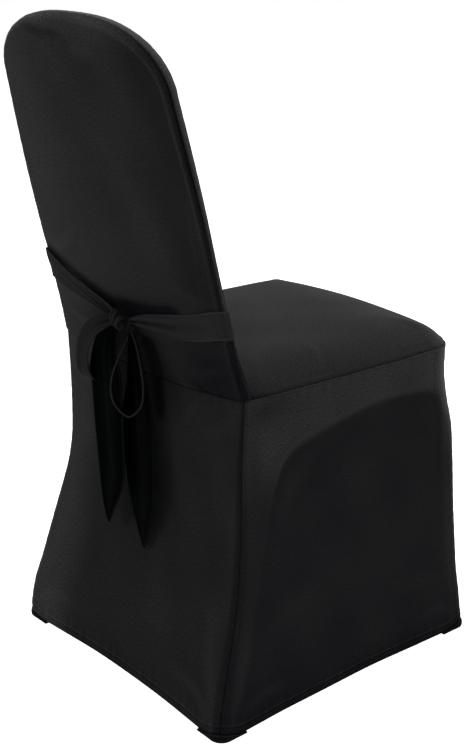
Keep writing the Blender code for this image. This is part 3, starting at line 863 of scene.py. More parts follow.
    # Painted light and shade in the panels' colour: LEFT_TONE paints light falling from the left and
    # RIGHT_TONE paints shade on the right; ALLOWANCE_TONE paints a highlight on the allowance's ridge;
    # SEAM_TONE and FOOT_TONE paint shade into the seams; TOP_TONE paints a highlight under the top edge.
    # LOW_TONE darkens the panels near their foot, and CLOUDS are uneven tone.
    LEFT_TONE = Ramp(0.23, 0.06, 0.14)
    RIGHT_TONE = Ramp(-0.10, 0.04, 0.14)
    ALLOWANCE_TONE = Stripe(0.22, 0.0075, 0.0035)
    SEAM_TONE = Stripe(-1.05, 0.0, 0.0013)
    FOOT_TONE = Stripe(-0.14, 0.0, 0.0018)
    TOP_TONE = Ramp(0.18, 0.445, 0.035)
    LOW_TONE = Ramp(-0.10, -0.10, 0.06)
    CLOUDS = Swell(0.03, 0.035)

    BOXING_FOLD = Stripe(-0.0007, 0.0, 0.0015)
    BOXING_ROLL = Stripe(0.0003, 0.0032, 0.0016)
    BOXING_PUCKER = Pucker(Stripe(0.0002, 0.003, 0.003), 0.017, 2.6)
    BOXING_END = Stripe(-0.0008, 0.0, 0.0018)
    TOP_FOLD = Stripe(1.0, 0.58, 0.07)
    REAR_SEAM_TONE = Stripe(1.0, 0.0, 0.0011)
    FRONT_SEAM_TONE = Stripe(-0.1, 0.0, 0.0008)

    def point(
        self, x: np.ndarray, s: np.ndarray, depth: np.ndarray, lift: np.ndarray | float = 0.0
    ) -> np.ndarray:
        """Points of the backrest.

        Args:
            x: Places across.
            s: Heights up the rear face.
            depth: Distances forward from that face.
            lift: Extra height near the seat.

        Returns:
            The points in the sections' own frame.
        """
        level = np.maximum(1 - np.maximum(s, 0.0) / self.levelling, 0.0) ** 2
        s = s - level * depth * math.tan(self.lean) + lift / math.cos(self.lean)
        y = self.foot_y + s * math.sin(self.lean) - depth * math.cos(self.lean)
        z = SIZES.seat_seam_z + s * math.cos(self.lean) + depth * math.sin(self.lean)
        return np.stack(np.broadcast_arrays(x, y, z), -1)

    def outline(self) -> dict[str, np.ndarray]:
        """Stations up one side and over half of the top, close together.

        Returns:
            The stations' x, s, inward direction, edge thickness, corner radius and spine height.
        """
        ribs = np.array(self.RIBS)
        heights = runs(*self.FOOT_ROWS, (self.FOOT_ROWS[-1][1], self.arch_start, self.side_rows))
        halves = smooth_curve(ribs[:, 0], ribs[:, 1], heights)
        edges = smooth_curve(ribs[:, 0], ribs[:, 2], heights)
        angle = np.linspace(0.0, math.pi / 2, self.arch_steps + 1)
        arch_x = self.arch_half * np.maximum(np.cos(angle), 0.0) ** self.arch_power
        arch_x[-1] = 0.0
        arch_rise = np.sin(angle)
        walked = np.hypot(np.diff(arch_x), np.diff(arch_rise) * self.arch_rise)
        travel = np.concatenate(([0.0], np.cumsum(walked)))
        at = np.linspace(0.0, travel[-1], self.arch_rows + 1)[1:]
        x = np.interp(at, travel, arch_x)
        rise = np.interp(at, travel, arch_rise)
        s = self.arch_start + self.arch_rise * rise
        edge = edges[-1] + (self.top_edge - edges[-1]) * rise
        spine = self.arch_start + self.arch_spine * self.arch_rise * rise
        x, s = np.concatenate((halves, x)), np.concatenate((heights, s))
        edge, spine = np.concatenate((edges, edge)), np.concatenate((heights, spine))
        way = np.stack((np.gradient(x), np.gradient(s)), -1)
        way[0], way[-1] = (0.0, 1.0), (-1.0, 0.0)
        way /= np.linalg.norm(way, axis=1)[:, None]
        radius = np.minimum(self.edge_round * edge, self.edge_radius)
        length = np.concatenate(([0.0], np.cumsum(np.hypot(np.diff(x), np.diff(s)))))
        return {
            "x": x,
            "s": s,
            "in_x": -way[:, 1],
            "in_s": way[:, 0],
            "edge": edge,
            "radius": radius,
            "spine": spine,
            "length": length,
        }

    def face_grid(self, seat: "Seat", front: bool) -> ClothGrid:
        """One half of the rear or front panel, before its creases.

        Args:
            seat: The seat, whose crown the front panel's foot follows.
            front: Whether it is the front panel.

        Returns:
            Rows up the outline and columns from the seam in to the middle.
        """
        line = {name: values[:, None] for name, values in self.outline().items()}
        seam_angle = self.front_seam_angle if front else self.rear_seam_angle
        angles = np.radians(np.linspace(seam_angle, 90.0, self.corner_columns))[None, :]
        inset = line["radius"] * (1 - np.cos(angles))
        depth = line["radius"] * (1 - np.sin(angles))
        depth = line["edge"] - depth if front else depth
        turn = math.radians(seam_angle)
        inset[:, 0] += SIZES.seam_gap / 2 * math.sin(turn)
        depth[:, 0] += SIZES.seam_gap / 2 * math.cos(turn) * (1 if front else -1)
        x = line["x"] + line["in_x"] * inset
        s = line["s"] + line["in_s"] * inset
        share = runs(*self.FACE_COLUMNS)[None, 1:]
        rise = smooth_step(line["s"] / self.crown_start)
        crown = (self.front_crown if front else -self.rear_crown) * rise * (1 - share**2)
        x = np.concatenate((x, x[:, -1:] * share), 1)
        s = np.concatenate((s, line["spine"] + (s[:, -1:] - line["spine"]) * share), 1)
        depth = np.concatenate((depth, depth[:, -1:] + crown), 1)
        x = np.maximum(x, 0.0)
        x[:, -1] = 0.0
        low = np.maximum(1 - line["s"] / self.lift_fade, 0.0) ** 2
        move = seat.crease_lift(x) if front else waist_height(x) - SIZES.seat_seam_z + SIZES.seam_gap
        points = self.point(x, s, depth, low * move)
        return ClothGrid(points, np.stack((x, s), -1), np.zeros(x.shape))

    def ridge(self, x: np.ndarray, s: np.ndarray) -> np.ndarray:
        """How far the seam allowance shows: most on the sitter's right, and more higher up."""
        nearer = self.far_ridge + self.NEAR_RIDGE.at(-x)
        return nearer * (self.low_ridge + (1 - self.low_ridge) * self.UP_SIDE.at(s))

    def dressed_face(self, seat: "Seat", front: bool) -> list[ClothGrid]:
        """Both halves of a panel with their seams, creases and colour value, which holds painted light and
        shade.

        Args:
            seat: The seat.
            front: Whether it is the front panel.

        Returns:
            The panel's two grids.
        """
        grid = self.face_grid(seat, front)
        line = self.outline()
        seam = travelled(grid.points, 1)
        foot = np.linalg.norm(grid.points - grid.points[:1], axis=-1)
        halves = []
        for side in (1, -1):
            x, s = side * grid.knit[..., 0], grid.knit[..., 1]
            travel = line["length"][:, None]
            travel = travel if side > 0 else 2 * travel[-1] - travel
            ridge = self.ridge(x, line["s"][:, None])
            out = self.SEAM_FOLD.at(seam) + self.SEAM_PUCKER.at(seam, travel)
            out += ridge * self.ALLOWANCE.at(seam)
            phase = self.front_phase if front else self.rear_phase
            out += self.SWELL.at(x, s, phase) * smooth_step(seam / self.swell_fade)
            out += self.FOOT_FOLD.at(foot) + self.FOOT_GATHER.at(foot, x)
            out[:, 0] -= SIZES.flange
            out[0] -= SIZES.flange / 4
            # Painted light from the left, painted shade on the right and in the seams, painted highlights
            # on the allowance and under the top edge.
            stretch = self.tone + self.LEFT_TONE.at(x) + self.RIGHT_TONE.at(-x)
            stretch = stretch + ridge * self.ALLOWANCE_TONE.at(seam)
            stretch = stretch + np.maximum(ridge - self.low_ridge, 0.0) * self.SEAM_TONE.at(seam)
            stretch = stretch + self.FOOT_TONE.at(foot) + self.TOP_TONE.at(s) + self.LOW_TONE.at(-s)
            stretch += self.CLOUDS.at(x, s, self.cloud_phase)
            base = ClothGrid(grid.points * (side, 1, 1), np.stack((x, s), -1), stretch)
            out = base.pressed(out, self.FRONT_CREASES if front else self.REAR_CREASES, x, s)
            if (side < 0) == front:
                base = base.turned()
                out = out[:, ::-1]
            middle = 0 if np.abs(base.points[(0, -1), 0, 0]).max() < TINY else -1
            normal_out = out if self.faces_out(base, front) else -out
            moved = base.pushed(normal_out, (middle,))
            moved.points[-1, :, 0] = 0.0
            halves.append(moved)
        return halves

    @staticmethod
    def faces_out(grid: ClothGrid, front: bool) -> bool:
        """Whether the grid's own normals point away from the chair's back."""
        normal = grid.normals()[len(grid.points) // 3, grid.points.shape[1] // 2]
        return (normal[1] < 0) == front

    def boxing_grid(self) -> ClothGrid:
        """The strip round the edge, from the rear seam to the front seam.

        Returns:
            Half of the strip, before its seams are turned in.
        """
        line = {name: values[:, None] for name, values in self.outline().items()}
        corners = []
        for angle in (self.rear_seam_angle, self.front_seam_angle):
            turn = np.radians(np.linspace(angle, 0.0, self.corner_columns))[None, :]
            inset = line["radius"] * (1 - np.cos(turn))
            depth = line["radius"] * (1 - np.sin(turn))
            inset[:, 0] -= SIZES.seam_gap / 2 * math.sin(math.radians(angle))
            depth[:, 0] += SIZES.seam_gap / 2 * math.cos(math.radians(angle))
            corners.append((inset, depth))
        (rear_inset, rear_depth), (fore_inset, fore_depth) = corners
        between = np.linspace(0.0, 1.0, self.boxing_columns)[None, 1:-1]
        flat = line["radius"] + (line["edge"] - 2 * line["radius"]) * between
        inset = np.concatenate((rear_inset, np.zeros_like(flat), fore_inset[:, ::-1]), 1)
        depth = np.concatenate((rear_depth, flat, (line["edge"] - fore_depth)[:, ::-1]), 1)
        low = np.maximum(1 - line["s"] / self.lift_fade, 0.0) ** 2
        x = np.maximum(line["x"] + line["in_x"] * inset, 0.0)
        x[-1] = 0.0
        points = self.point(x, line["s"] + line["in_s"] * inset, depth, low * 2 * SIZES.seam_gap)
        return ClothGrid(points, np.zeros((*x.shape, 2)), np.zeros(x.shape))

    def dressed_boxing(self) -> ClothGrid:
        """The strip up one side, over the top and down the other.

        Returns:
            The whole strip with its seams turned in.
        """
        half = self.boxing_grid()
        length = self.outline()["length"]
        mirror = half.points[-2::-1] * (-1, 1, 1)
        points = np.concatenate((half.points, mirror))
        travel = np.concatenate((length, 2 * length[-1] - length[-2::-1]))[:, None]
        across = travelled(points, 1)
        to_front = across[:, -1:] - across
        seam = np.minimum(across, to_front)
        ends = np.minimum(travel, travel[-1] - travel)
        fold = self.OVER_TOP.at(ends) * self.TOP_FOLD.at(across / across[:, -1:])
        out = self.BOXING_FOLD.at(seam) + self.BOXING_ROLL.at(seam) + self.BOXING_PUCKER.at(seam, travel)
        out += self.BOXING_END.at(ends) - self.fold_depth * fold
        out[:, 0] -= SIZES.flange
        out[:, -1] -= SIZES.flange
        # Painted highlight on the boxing above the waist and higher up, painted shade in its top fold and
        # along both seams, darkest at the rear seam higher up.
        high = self.UP_SIDE.at(ends)
        seam_tone = self.low_seam_tone + self.high_seam_tone * high
        stretch = self.boxing_tone + self.ABOVE_WAIST.at(ends) + self.high_tone * high
        stretch = stretch - self.fold_tone * fold
        stretch += self.FRONT_SEAM_TONE.at(to_front) - seam_tone * self.REAR_SEAM_TONE.at(across)
        knit = np.stack(np.broadcast_arrays(across, travel), -1)
        return ClothGrid(points, knit, stretch).turned().pushed(out[:, ::-1])

    def dress(self, maker: ClothMaker, seat: "Seat") -> None:
        """Makes the three pieces.

        Args:
            maker: Makes each piece of cloth.
            seat: The seat, which the front panel meets.
        """
        rear = maker.piece("rear_panel", self.dressed_face(seat, False), ("back_rear_panel",), Slot.COVER)
        fore = maker.piece("front_panel", self.dressed_face(seat, True), ("back_front_panel",), Slot.COVER)
        strip = maker.piece("boxing", [self.dressed_boxing()], ("back_boxing",), Slot.COVER)


def waist_height(x: np.ndarray) -> np.ndarray:
    """Height of the seam across the back, which sags between the rear legs."""
    return SIZES.seat_seam_z - SIZES.waist_sag * np.maximum(1 - (x / Backrest.RIBS[0][1]) ** 2, 0.0)


class Wall(Enum):
    """The four skirt walls: node, first corner, last corner, and the column of its bow in the levels."""

    RIGHT = ("skirt_right", (-1, 1), (-1, -1), 8)
    FRONT = ("skirt_front", (-1, -1), (1, -1), 9)
    LEFT = ("skirt_left", (1, -1), (1, 1), 8)
    REAR = ("skirt_rear", (1, 1), (-1, 1), 7)


@dataclass(frozen=True)
class Skirt:
    """Four flared walls that meet at rounded corners, with a doubled hem."""

    pocket_reach: float = 0.040
    pocket_height: float = 0.0125
    hem_height: float = 0.0030
    hem_arch: float = 0.0030
    hem_band: float = 0.012
    lap: float = 0.0008
    lap_start: float = 0.008
    shoulder: float = 0.0030
    arch_centre_y: float = -0.050
    arch_centre_z: float = 0.318
    arch_reach_y: float = 0.200
    arch_reach_z: float = 0.100
    drawn_in: float = 0.0024
    drawn_over: float = 0.35
    rail_step: float = 0.0034
    seat_start: float = 0.0232
    seat_rear: float = 0.1945
    swell_fade: float = 0.04
    # The walls' base tones; rail_tone lightens the band over the seat rail and legs, partly as the greyer
    # taut knit and partly as painted light on that up-facing band.
    side_tone: float = 0.24
    rail_tone: float = 0.40
    rear_tone: float = 0.27
    front_share: float = 0.45
    front_band: float = 0.5
    leg_share: float = 0.12
    leg_slope: float = 0.36
    leg_curve: float = 0.70
    leg_depth: float = 0.25
    leg_reach: float = 0.0463
    ahead_curve: float = 1.3
    sunk_at_hem: float = 0.35
    sunk_height: float = 0.25
    end_ease: float = 6.0
    arch_splits: int = 3
    swell_phase: float = 1.0
    cloud_phase: float = 0.3

    CORNER_COLUMNS = ((0.0, 0.24, 6), (0.24, 1.0, 8))
    WALL_COLUMNS = ((0.0, 0.12, 20), (0.12, 0.88, 118), (0.88, 1.0, 20))
    LEVELS = (
        (0.000, 0.2450, 0.2670, 0.018, 0.2120, 0.2440, 0.016, 0.0100, 0.0030, 0.0060),
        (0.030, 0.2455, 0.2655, 0.018, 0.2110, 0.2400, 0.016, 0.0100, 0.0030, 0.0060),
        (0.060, 0.2435, 0.2600, 0.017, 0.2100, 0.2362, 0.016, 0.0095, 0.0030, 0.0060),
        (0.100, 0.2382, 0.2480, 0.016, 0.2080, 0.2300, 0.016, 0.0090, 0.0030, 0.0060),
        (0.140, 0.2336, 0.2361, 0.015, 0.2060, 0.2268, 0.016, 0.0080, 0.0025, 0.0060),
        (0.180, 0.2281, 0.2250, 0.014, 0.2050, 0.2230, 0.016, 0.0070, 0.0020, 0.0060),
        (0.220, 0.2210, 0.2148, 0.013, 0.2040, 0.2195, 0.016, 0.0060, 0.0015, 0.0060),
        (0.260, 0.2135, 0.2068, 0.012, 0.2030, 0.2172, 0.016, 0.0055, 0.0010, 0.0055),
        (0.300, 0.2095, 0.2025, 0.012, 0.2030, 0.2145, 0.018, 0.0050, 0.0000, 0.0050),
        (0.340, 0.2082, 0.2012, 0.011, 0.2035, 0.2139, 0.027, 0.0045, -0.0005, 0.0040),
        (0.380, 0.2085, 0.2006, 0.010, 0.2040, 0.2128, 0.046, 0.0040, -0.0015, 0.0000),
        (0.420, 0.2103, 0.2002, 0.009, 0.2048, 0.2128, 0.060, 0.0040, -0.0030, -0.0060),
        (0.464, 0.2125, 0.2000, 0.0072, 0.2054, 0.2125, 0.060, 0.0039, -0.0040, -0.0100),
    )
    SIDE_ARCH = (
        (0.246, 0.030),
        (0.212, 0.118),
        (0.190, 0.184),
        (0.172, 0.245),
        (0.157, 0.289),
        (0.1425, 0.338),
        (0.130, 0.364),
        (0.112, 0.378),
        (0.086, 0.387),
        (0.060, 0.394),
        (0.032, 0.400),
        (0.005, 0.406),
        (-0.023, 0.410),
        (-0.052, 0.412),
        (-0.081, 0.412),
        (-0.110, 0.411),
        (-0.141, 0.408),
        (-0.163, 0.398),
        (-0.174, 0.375),
        (-0.180, 0.300),
        (-0.190, 0.180),
        (-0.206, 0.030),
    )
    FRONT_ARCH = arch(
        (
            (-0.182, 0.030),
            (-0.178, 0.180),
            (-0.172, 0.300),
            (-0.160, 0.350),
            (-0.130, 0.378),
            (-0.070, 0.393),
            (0.000, 0.397),
        )
    )
    SIDE_CREASES = (
        Crease(((0.170, 0.445), (0.130, 0.425), (0.085, 0.415)), 0.0003, 0.0088, Profile.PINCH),
        Crease(((0.190, 0.440), (0.186, 0.380), (0.176, 0.310)), 0.0004, 0.0108),
        Crease(((-0.150, 0.430), (-0.100, 0.436), (-0.040, 0.434)), 0.0003, 0.0108),
        Crease(((0.150, 0.270), (0.110, 0.330), (0.050, 0.365)), 0.0004, 0.0162, Profile.PINCH),
        Crease(((0.185, 0.110), (0.130, 0.150), (0.060, 0.160)), 0.0003, 0.0189, Profile.PINCH),
        Crease(((-0.190, 0.080), (-0.130, 0.110), (-0.060, 0.115)), 0.0003, 0.0175, Profile.PINCH),
        Crease(((0.240, 0.030), (0.190, 0.048), (0.120, 0.045)), 0.0005, 0.0095, Profile.PINCH),
        Crease(((-0.222, 0.030), (-0.180, 0.050), (-0.120, 0.048)), 0.0005, 0.0095, Profile.PINCH),
        Crease(((0.248, 0.025), (0.228, 0.080), (0.205, 0.150)), 0.0004, 0.0108, Profile.PINCH),
    )
    # The first crease's tone=1000 valley is a painted shadow of the right loop on the rear wall; the other
    # creases paint shade in their valleys and highlights on their ridges.
    REAR_CREASES = (
        Crease(((-0.012, 0.465), (-0.018, 0.425), (-0.024, 0.375)), 0.0004, 0.0130, fade=0.30, tone=1000.0),
        Crease(((-0.205, 0.440), (-0.160, 0.410), (-0.110, 0.390)), 0.0003, 0.0108, Profile.PINCH),
        Crease(((0.205, 0.440), (0.160, 0.405), (0.110, 0.380)), 0.0004, 0.0115, Profile.PINCH),
        Crease(((-0.130, 0.448), (-0.100, 0.425), (-0.080, 0.390)), 0.0003, 0.0081, Profile.PINCH),
        Crease(((0.120, 0.440), (0.095, 0.400), (0.085, 0.340)), 0.0003, 0.0121),
        *both_sides(
            Crease(((-0.222, 0.030), (-0.180, 0.056), (-0.110, 0.060)), 0.0006, 0.0101, Profile.PINCH),
            Crease(((-0.228, 0.040), (-0.200, 0.110), (-0.180, 0.190)), 0.0005, 0.0149, Profile.PINCH),
        ),
        Crease(((-0.060, 0.300), (-0.070, 0.200), (-0.100, 0.100)), 0.0003, 0.0270),
        Crease(((0.070, 0.260), (0.090, 0.170), (0.120, 0.090)), 0.0003, 0.0270),
    )
    FRONT_CREASES = both_sides(
        Crease(((-0.186, 0.030), (-0.150, 0.052), (-0.090, 0.055)), 0.0005, 0.0095, Profile.PINCH),
        Crease(((-0.165, 0.300), (-0.120, 0.345), (-0.060, 0.365)), 0.0004, 0.0135, Profile.PINCH),
    )

    ROWS = (
        (0.0, 0.036, 14),
        (0.036, 0.12, 12),
        (0.12, 0.93, 74),
        (0.93, 0.9935, 12),
        (0.9935, 1.0, 7),
    )

    SEAM_FOLD = Stripe(-0.0004, 0.0, 0.0009)
    SEAM_PUCKER = Pucker(Stripe(0.0002, 0.003, 0.004), 0.021, 1.1)
    TOP_FOLD = Stripe(-0.0004, 0.0, 0.0016)
    WAIST_GATHER = WaistGather(Stripe(0.00026, 0.005, 0.010), (0.023, 0.2), (0.0101, 1.4))
    SEAT_ENDS = Stripe(1.0, 0.01, 0.070)
    SEAT_DIP = Stripe(-0.00045, 0.0085, 0.0014)
    SEAT_ROLL = Stripe(0.00035, 0.0058, 0.0018)
    SEAT_PUCKER = Pucker(Stripe(0.00020, 0.006, 0.008), 0.029, 2.2)
    HEM_DOUBLED = Ramp(0.0004, -0.0007, 0.0014)
    HEM_STITCH = Stripe(-0.0007, -0.0008, 0.0009)
    HEM_ROLL = Stripe(0.00035, 0.0022, 0.0014)
    HEM_EDGE = Stripe(-0.0006, 0.0, 0.0008)
    HEM_PUCKER = Pucker(Stripe(0.0003, 0.013, 0.011), 0.021, 0.4)
    SWELL = Swell(0.0008, 0.050)

    STEP = Ramp(1.0, -0.0039, 0.013)
    STEP_UP = Ramp(0.88, 0.24, 0.16)
    BAND_EDGE = Ramp(-1.0, -0.0060, 0.015)
    BAND_UP = Ramp(0.88, 0.26, 0.15)
    # REAR_LEFT_TONE paints light from the left on the rear wall and REAR_LOW_TONE paints light on its low
    # flare. LOW_TONE makes the walls darker towards the hem, and SIDE_PATCHES add a darker patch under the
    # seam by the rear corner, a lighter patch where the arch meets the rear leg, and a lighter strip up the
    # front corner.
    LOW_TONE = Ramp(-0.05, -0.20, 0.2)
    REAR_LEFT_TONE = Ramp(0.42, 0.11, 0.09)
    REAR_LOW_TONE = Stripe(0.05, 0.10, 0.08)
    SIDE_PATCHES = (
        (Stripe(-0.20, 0.165, 0.030), Stripe(1.0, 0.440, 0.016)),
        (Stripe(0.12, 0.152, 0.020), Stripe(1.0, 0.378, 0.032)),
        (Stripe(0.10, -0.205, 0.012), Ramp(1.0, 0.05, 0.1)),
    )
    # TOP_TONE paints shade under the seat seam and SEAM_TONE paints shade into the corner seams;
    # BESIDE_SEAM_REAR darkens the rear wall beside its seams a little and BESIDE_SEAM lightens the other
    # walls beside theirs very slightly. HEM_ROLL_TONE paints a highlight on the hem's roll, HEM_STITCH_TONE
    # paints shade in its stitch line and HEM_EDGE_TONE paints shade along its lower edge; HEM_TONE darkens
    # the hem a little.
    TOP_TONE = Stripe(-0.10, 0.001, 0.002)
    SEAM_TONE = Stripe(-0.20, 0.0, 0.0005)
    BESIDE_SEAM_REAR = Stripe(-0.05, 0.0, 0.010)
    BESIDE_SEAM = Stripe(0.01, 0.0, 0.010)
    HEM_ROLL_TONE = Stripe(0.22, 0.0015, 0.0016)
    HEM_STITCH_TONE = Stripe(-0.20, 0.0, 0.0010)
    HEM_TONE = Stripe(-0.06, 0.0, 0.03)
    HEM_EDGE_TONE = Stripe(-0.20, 0.0, 0.0035)
    CLOUDS = Swell(0.025, 0.033)

    def level(self, z: np.ndarray) -> np.ndarray:
        """The table of levels read at heights, with the columns last."""
        table = np.array(self.LEVELS)
        return smooth_curve(table[:, 0], table, z)

    def corner(self, at: tuple[int, int], level: np.ndarray, angle: np.ndarray) -> Pair:
        """Points of a rounded corner.

        Args:
            at: The corner's side and end.
            level: The levels there.
            angle: Angles from the corner's seam.

        Returns:
            The points in plan and their outward directions.
        """
        side, end = at
        first = 1 if end > 0 else 4
        reach_x, reach_y, radius = (level[..., first + i] for i in range(3))
        turn = math.atan2(end, side) + angle
        out = np.stack(np.broadcast_arrays(np.cos(turn) + 0 * radius, np.sin(turn) + 0 * radius), -1)
        middle = np.stack((side * (reach_x - radius), end * (reach_y - radius)), -1)
        return middle + out * radius[..., None], out

    def sunk(self, y: np.ndarray, z: np.ndarray) -> np.ndarray:
        """How far a side is stretched inwards below the seat rail and in front of the rear leg.

        Args:
            y: Each point's place from front to back.
            z: Its height.

        Returns:
            The depth at each point.
        """
        # How far a side is drawn inwards below the seat rail and in front of the rear leg.
        below = np.maximum(self.arch_centre_z - z, 0.0)
        curved = self.leg_slope * below - self.leg_curve * below**2
        leg = np.where(below < self.leg_depth, curved, self.leg_reach)
        along = np.maximum((y - self.arch_centre_y - leg) / self.arch_reach_y, 0.0)
        ahead = np.maximum(self.arch_centre_y - y, 0.0)
        up = np.maximum((z - self.arch_centre_z + self.ahead_curve * ahead**2) / self.arch_reach_z, 0.0)
        fade = self.sunk_at_hem + (1 - self.sunk_at_hem) * smooth_step(z / self.sunk_height)
        return self.drawn_in * fade * smooth_step((1 - np.hypot(along, up)) / self.drawn_over)

    def plan(self, wall: Wall, z: np.ndarray, columns: Sequence[np.ndarray]) -> Pair:
        """Points of a wall in plan.

        Args:
            wall: The wall.
            z: A height for each row and column.
            columns: Angles at the first corner, shares of the straight part and angles at the last.

        Returns:
            The points and their outward directions.
        """
        _, start, end, bow = wall.value
        opening, along, closing = columns
        level = self.level(z)
        near, middle, far = np.split(level, (len(opening), len(opening) + len(along)), axis=1)
        first, first_out = self.corner(start, near, opening[None, :])
        last, last_out = self.corner(end, far, closing[None, :])
        begin, out = self.corner(start, middle, np.full((1, 1), QUARTER))
        finish, _ = self.corner(end, middle, np.full((1, 1), -QUARTER))
        share = along[None, :, None]
        straight = begin + (finish - begin) * share
        inwards = middle[..., bow] * 4 * along * (1 - along)
        if bow == 8:
            heights = z[:, len(opening) : len(opening) + len(along)]
            ease = smooth_step(self.end_ease * along) * smooth_step(self.end_ease * (1 - along))
            inwards = inwards + self.sunk(straight[..., 1], heights) * ease
        straight = straight - out * inwards[..., None]
        points = np.concatenate((first, straight, last), 1)
        outs = np.concatenate((first_out, np.broadcast_to(out, straight.shape), last_out), 1)
        around = np.stack((-outs[..., 1], outs[..., 0]), -1)
        points[:, 0] += around[:, 0] * SIZES.seam_gap / 2
        points[:, -1] -= around[:, -1] * SIZES.seam_gap / 2
        return points, outs

    def columns(self) -> tuple[np.ndarray, np.ndarray, np.ndarray]:
        """Angles and shares of a wall's columns, closer together near its two seams."""
        turn = QUARTER * runs(*self.CORNER_COLUMNS)
        return turn, runs(*self.WALL_COLUMNS)[1:-1], -turn[::-1]

    def hem(self, plan: np.ndarray) -> np.ndarray:
        """Height of the hem at each column.

        Args:
            plan: The wall's points in plan just above the pockets.

        Returns:
            Heights, lifted over the foot pockets with a shallow arch between them.
        """
        start, end = plan[0], plan[-1]
        near = np.minimum(np.linalg.norm(plan - start, axis=1), np.linalg.norm(plan - end, axis=1))
        over = (self.pocket_height - self.hem_height) * (1 - smooth_step(near / self.pocket_reach))
        share = np.minimum(near / np.linalg.norm(end - start), 0.5)
        return self.hem_height + over + self.hem_arch * np.sin(math.pi * share)

    def grid(self, wall: Wall) -> tuple[ClothGrid, np.ndarray]:
        """A wall before its creases.

        Args:
            wall: The wall.

        Returns:
            Its grid and its distance along the wall.
        """
        columns = self.columns()
        count = sum(len(part) for part in columns)
        low_plan, _ = self.plan(wall, np.full((1, count), self.pocket_height), columns)
        low = self.hem(low_plan[0])
        top_plan, _ = self.plan(wall, np.full((1, count), SIZES.seat_seam_z), columns)
        top_x = top_plan[0, :, 0]
        top = waist_height(top_x) if wall is Wall.REAR else np.full(count, SIZES.seat_seam_z)
        share = runs(*self.ROWS)
        z = low[None, :] + (top - low)[None, :] * share[:, None]
        points, out = self.plan(wall, z, columns)
        walked = sum(np.linalg.norm(np.diff(plan[0], axis=0), axis=1) / 2 for plan in (low_plan, top_plan))
        along = np.concatenate(([0.0], np.cumsum(walked)))
        meets_seat = (top_plan[0, :, 1] <= self.seat_rear) & (wall is not Wall.REAR)
        down = top[None, :] - z
        round_in = SIZES.seam_inset * np.maximum(1 - down / self.shoulder, 0.0) ** 2
        points = points - out * (round_in * meets_seat[None, :])[..., None]
        whole = np.concatenate((points, z[..., None]), -1)
        knit = np.stack(np.broadcast_arrays(along[None, :], z), -1)
        return ClothGrid(whole, knit, np.zeros(z.shape)), along

    def arch_relief(self, wall: Wall, grid: ClothGrid) -> Pair:
        """The step under the seat rail and along the legs.

        Args:
            wall: The wall.
            grid: Its grid.

        Returns:
            The move outwards, and a mask that is 1 on the rail and legs and 0 inside; it lightens that
            band, partly as tautness and partly as painted light.
        """
        z = grid.points[..., 2]
        if wall is Wall.REAR:
            return np.zeros(z.shape), np.ones(z.shape)
        along = grid.points[..., 0] if wall is Wall.FRONT else grid.points[..., 1]
        line = smooth_line(self.FRONT_ARCH if wall is Wall.FRONT else self.SIDE_ARCH, self.arch_splits)
        inside, _ = line_distance(line, along, z)
        inside = -inside if wall is Wall.FRONT else inside
        depth = self.rail_step * (self.front_share if wall is Wall.FRONT else 1.0)
        out = -depth * (self.leg_share + self.STEP_UP.at(z)) * self.STEP.at(inside)
        band = (self.leg_share + self.BAND_UP.at(z)) * (self.front_band if wall is Wall.FRONT else 1.0)
        return out, band * (1 + self.BAND_EDGE.at(inside))

    def dressed(self, wall: Wall) -> ClothGrid:
        """A wall with its seams, hem, creases, and its colour value with painted light and shade.

        Args:
            wall: The wall.

        Returns:
            The finished grid.
        """
        grid, along = self.grid(wall)
        z = grid.points[..., 2]
        up = z - z[:1]
        down = z[-1:] - z
        over_hem = up - self.hem_band
        seam = np.minimum(along, along[-1] - along)[None, :]
        along = along[None, :]
        out, proud = self.arch_relief(wall, grid)
        out += self.SEAM_FOLD.at(seam) + self.SEAM_PUCKER.at(seam, z) + self.TOP_FOLD.at(down)
        lapped = wall in (Wall.REAR, Wall.FRONT)
        above = smooth_step(up[:, (0, -1)] / self.lap_start)
        out[:, (0, -1)] -= SIZES.flange / (1 if lapped else 2) * above
        out[-1] -= SIZES.flange / 3
        out += self.HEM_DOUBLED.at(-over_hem) + self.HEM_STITCH.at(over_hem) + self.HEM_ROLL.at(over_hem)
        out += self.HEM_EDGE.at(up) + self.HEM_PUCKER.at(up, along)
        phase = self.swell_phase + len(wall.name)
        out += self.SWELL.at(along, z, phase) * smooth_step(seam / self.swell_fade)
        if wall is Wall.REAR:
            out += self.WAIST_GATHER.at(down, grid.points[..., 0])
        else:
            out += self.SEAT_ENDS.at(seam) * (self.SEAT_DIP.at(down) + self.SEAT_ROLL.at(down))
            out += self.SEAT_PUCKER.at(down, along)
        place = grid.points[..., 1] if wall in (Wall.RIGHT, Wall.LEFT) else grid.points[..., 0]
        beside = self.BESIDE_SEAM_REAR if wall is Wall.REAR else self.BESIDE_SEAM
        # Painted shade under the seat seam, in the corner seams and along the hem, and a painted highlight
        # on the hem's roll.
        stretch = self.wall_tone(wall, place, z, proud)
        stretch = stretch + self.TOP_TONE.at(down) + self.SEAM_TONE.at(seam) + beside.at(seam)
        stretch += self.HEM_ROLL_TONE.at(over_hem) + self.HEM_STITCH_TONE.at(over_hem)
        stretch += self.HEM_TONE.at(up) + self.HEM_EDGE_TONE.at(up)
        stretch += self.CLOUDS.at(place, z, self.cloud_phase + len(wall.name))
        creases = {Wall.REAR: self.REAR_CREASES, Wall.FRONT: self.FRONT_CREASES}
        dressed = ClothGrid(grid.points, grid.knit, stretch)
        moved = dressed.pushed(dressed.pressed(out, creases.get(wall, self.SIDE_CREASES), place, z))
        if lapped:
            for edge, beside in ((0, 1), (-1, -2)):
                way = grid.points[:, edge] - grid.points[:, beside]
                way /= np.linalg.norm(way, axis=1)[:, None]
                moved.points[:, edge] += self.lap * above[:, edge, None] * way
        return moved

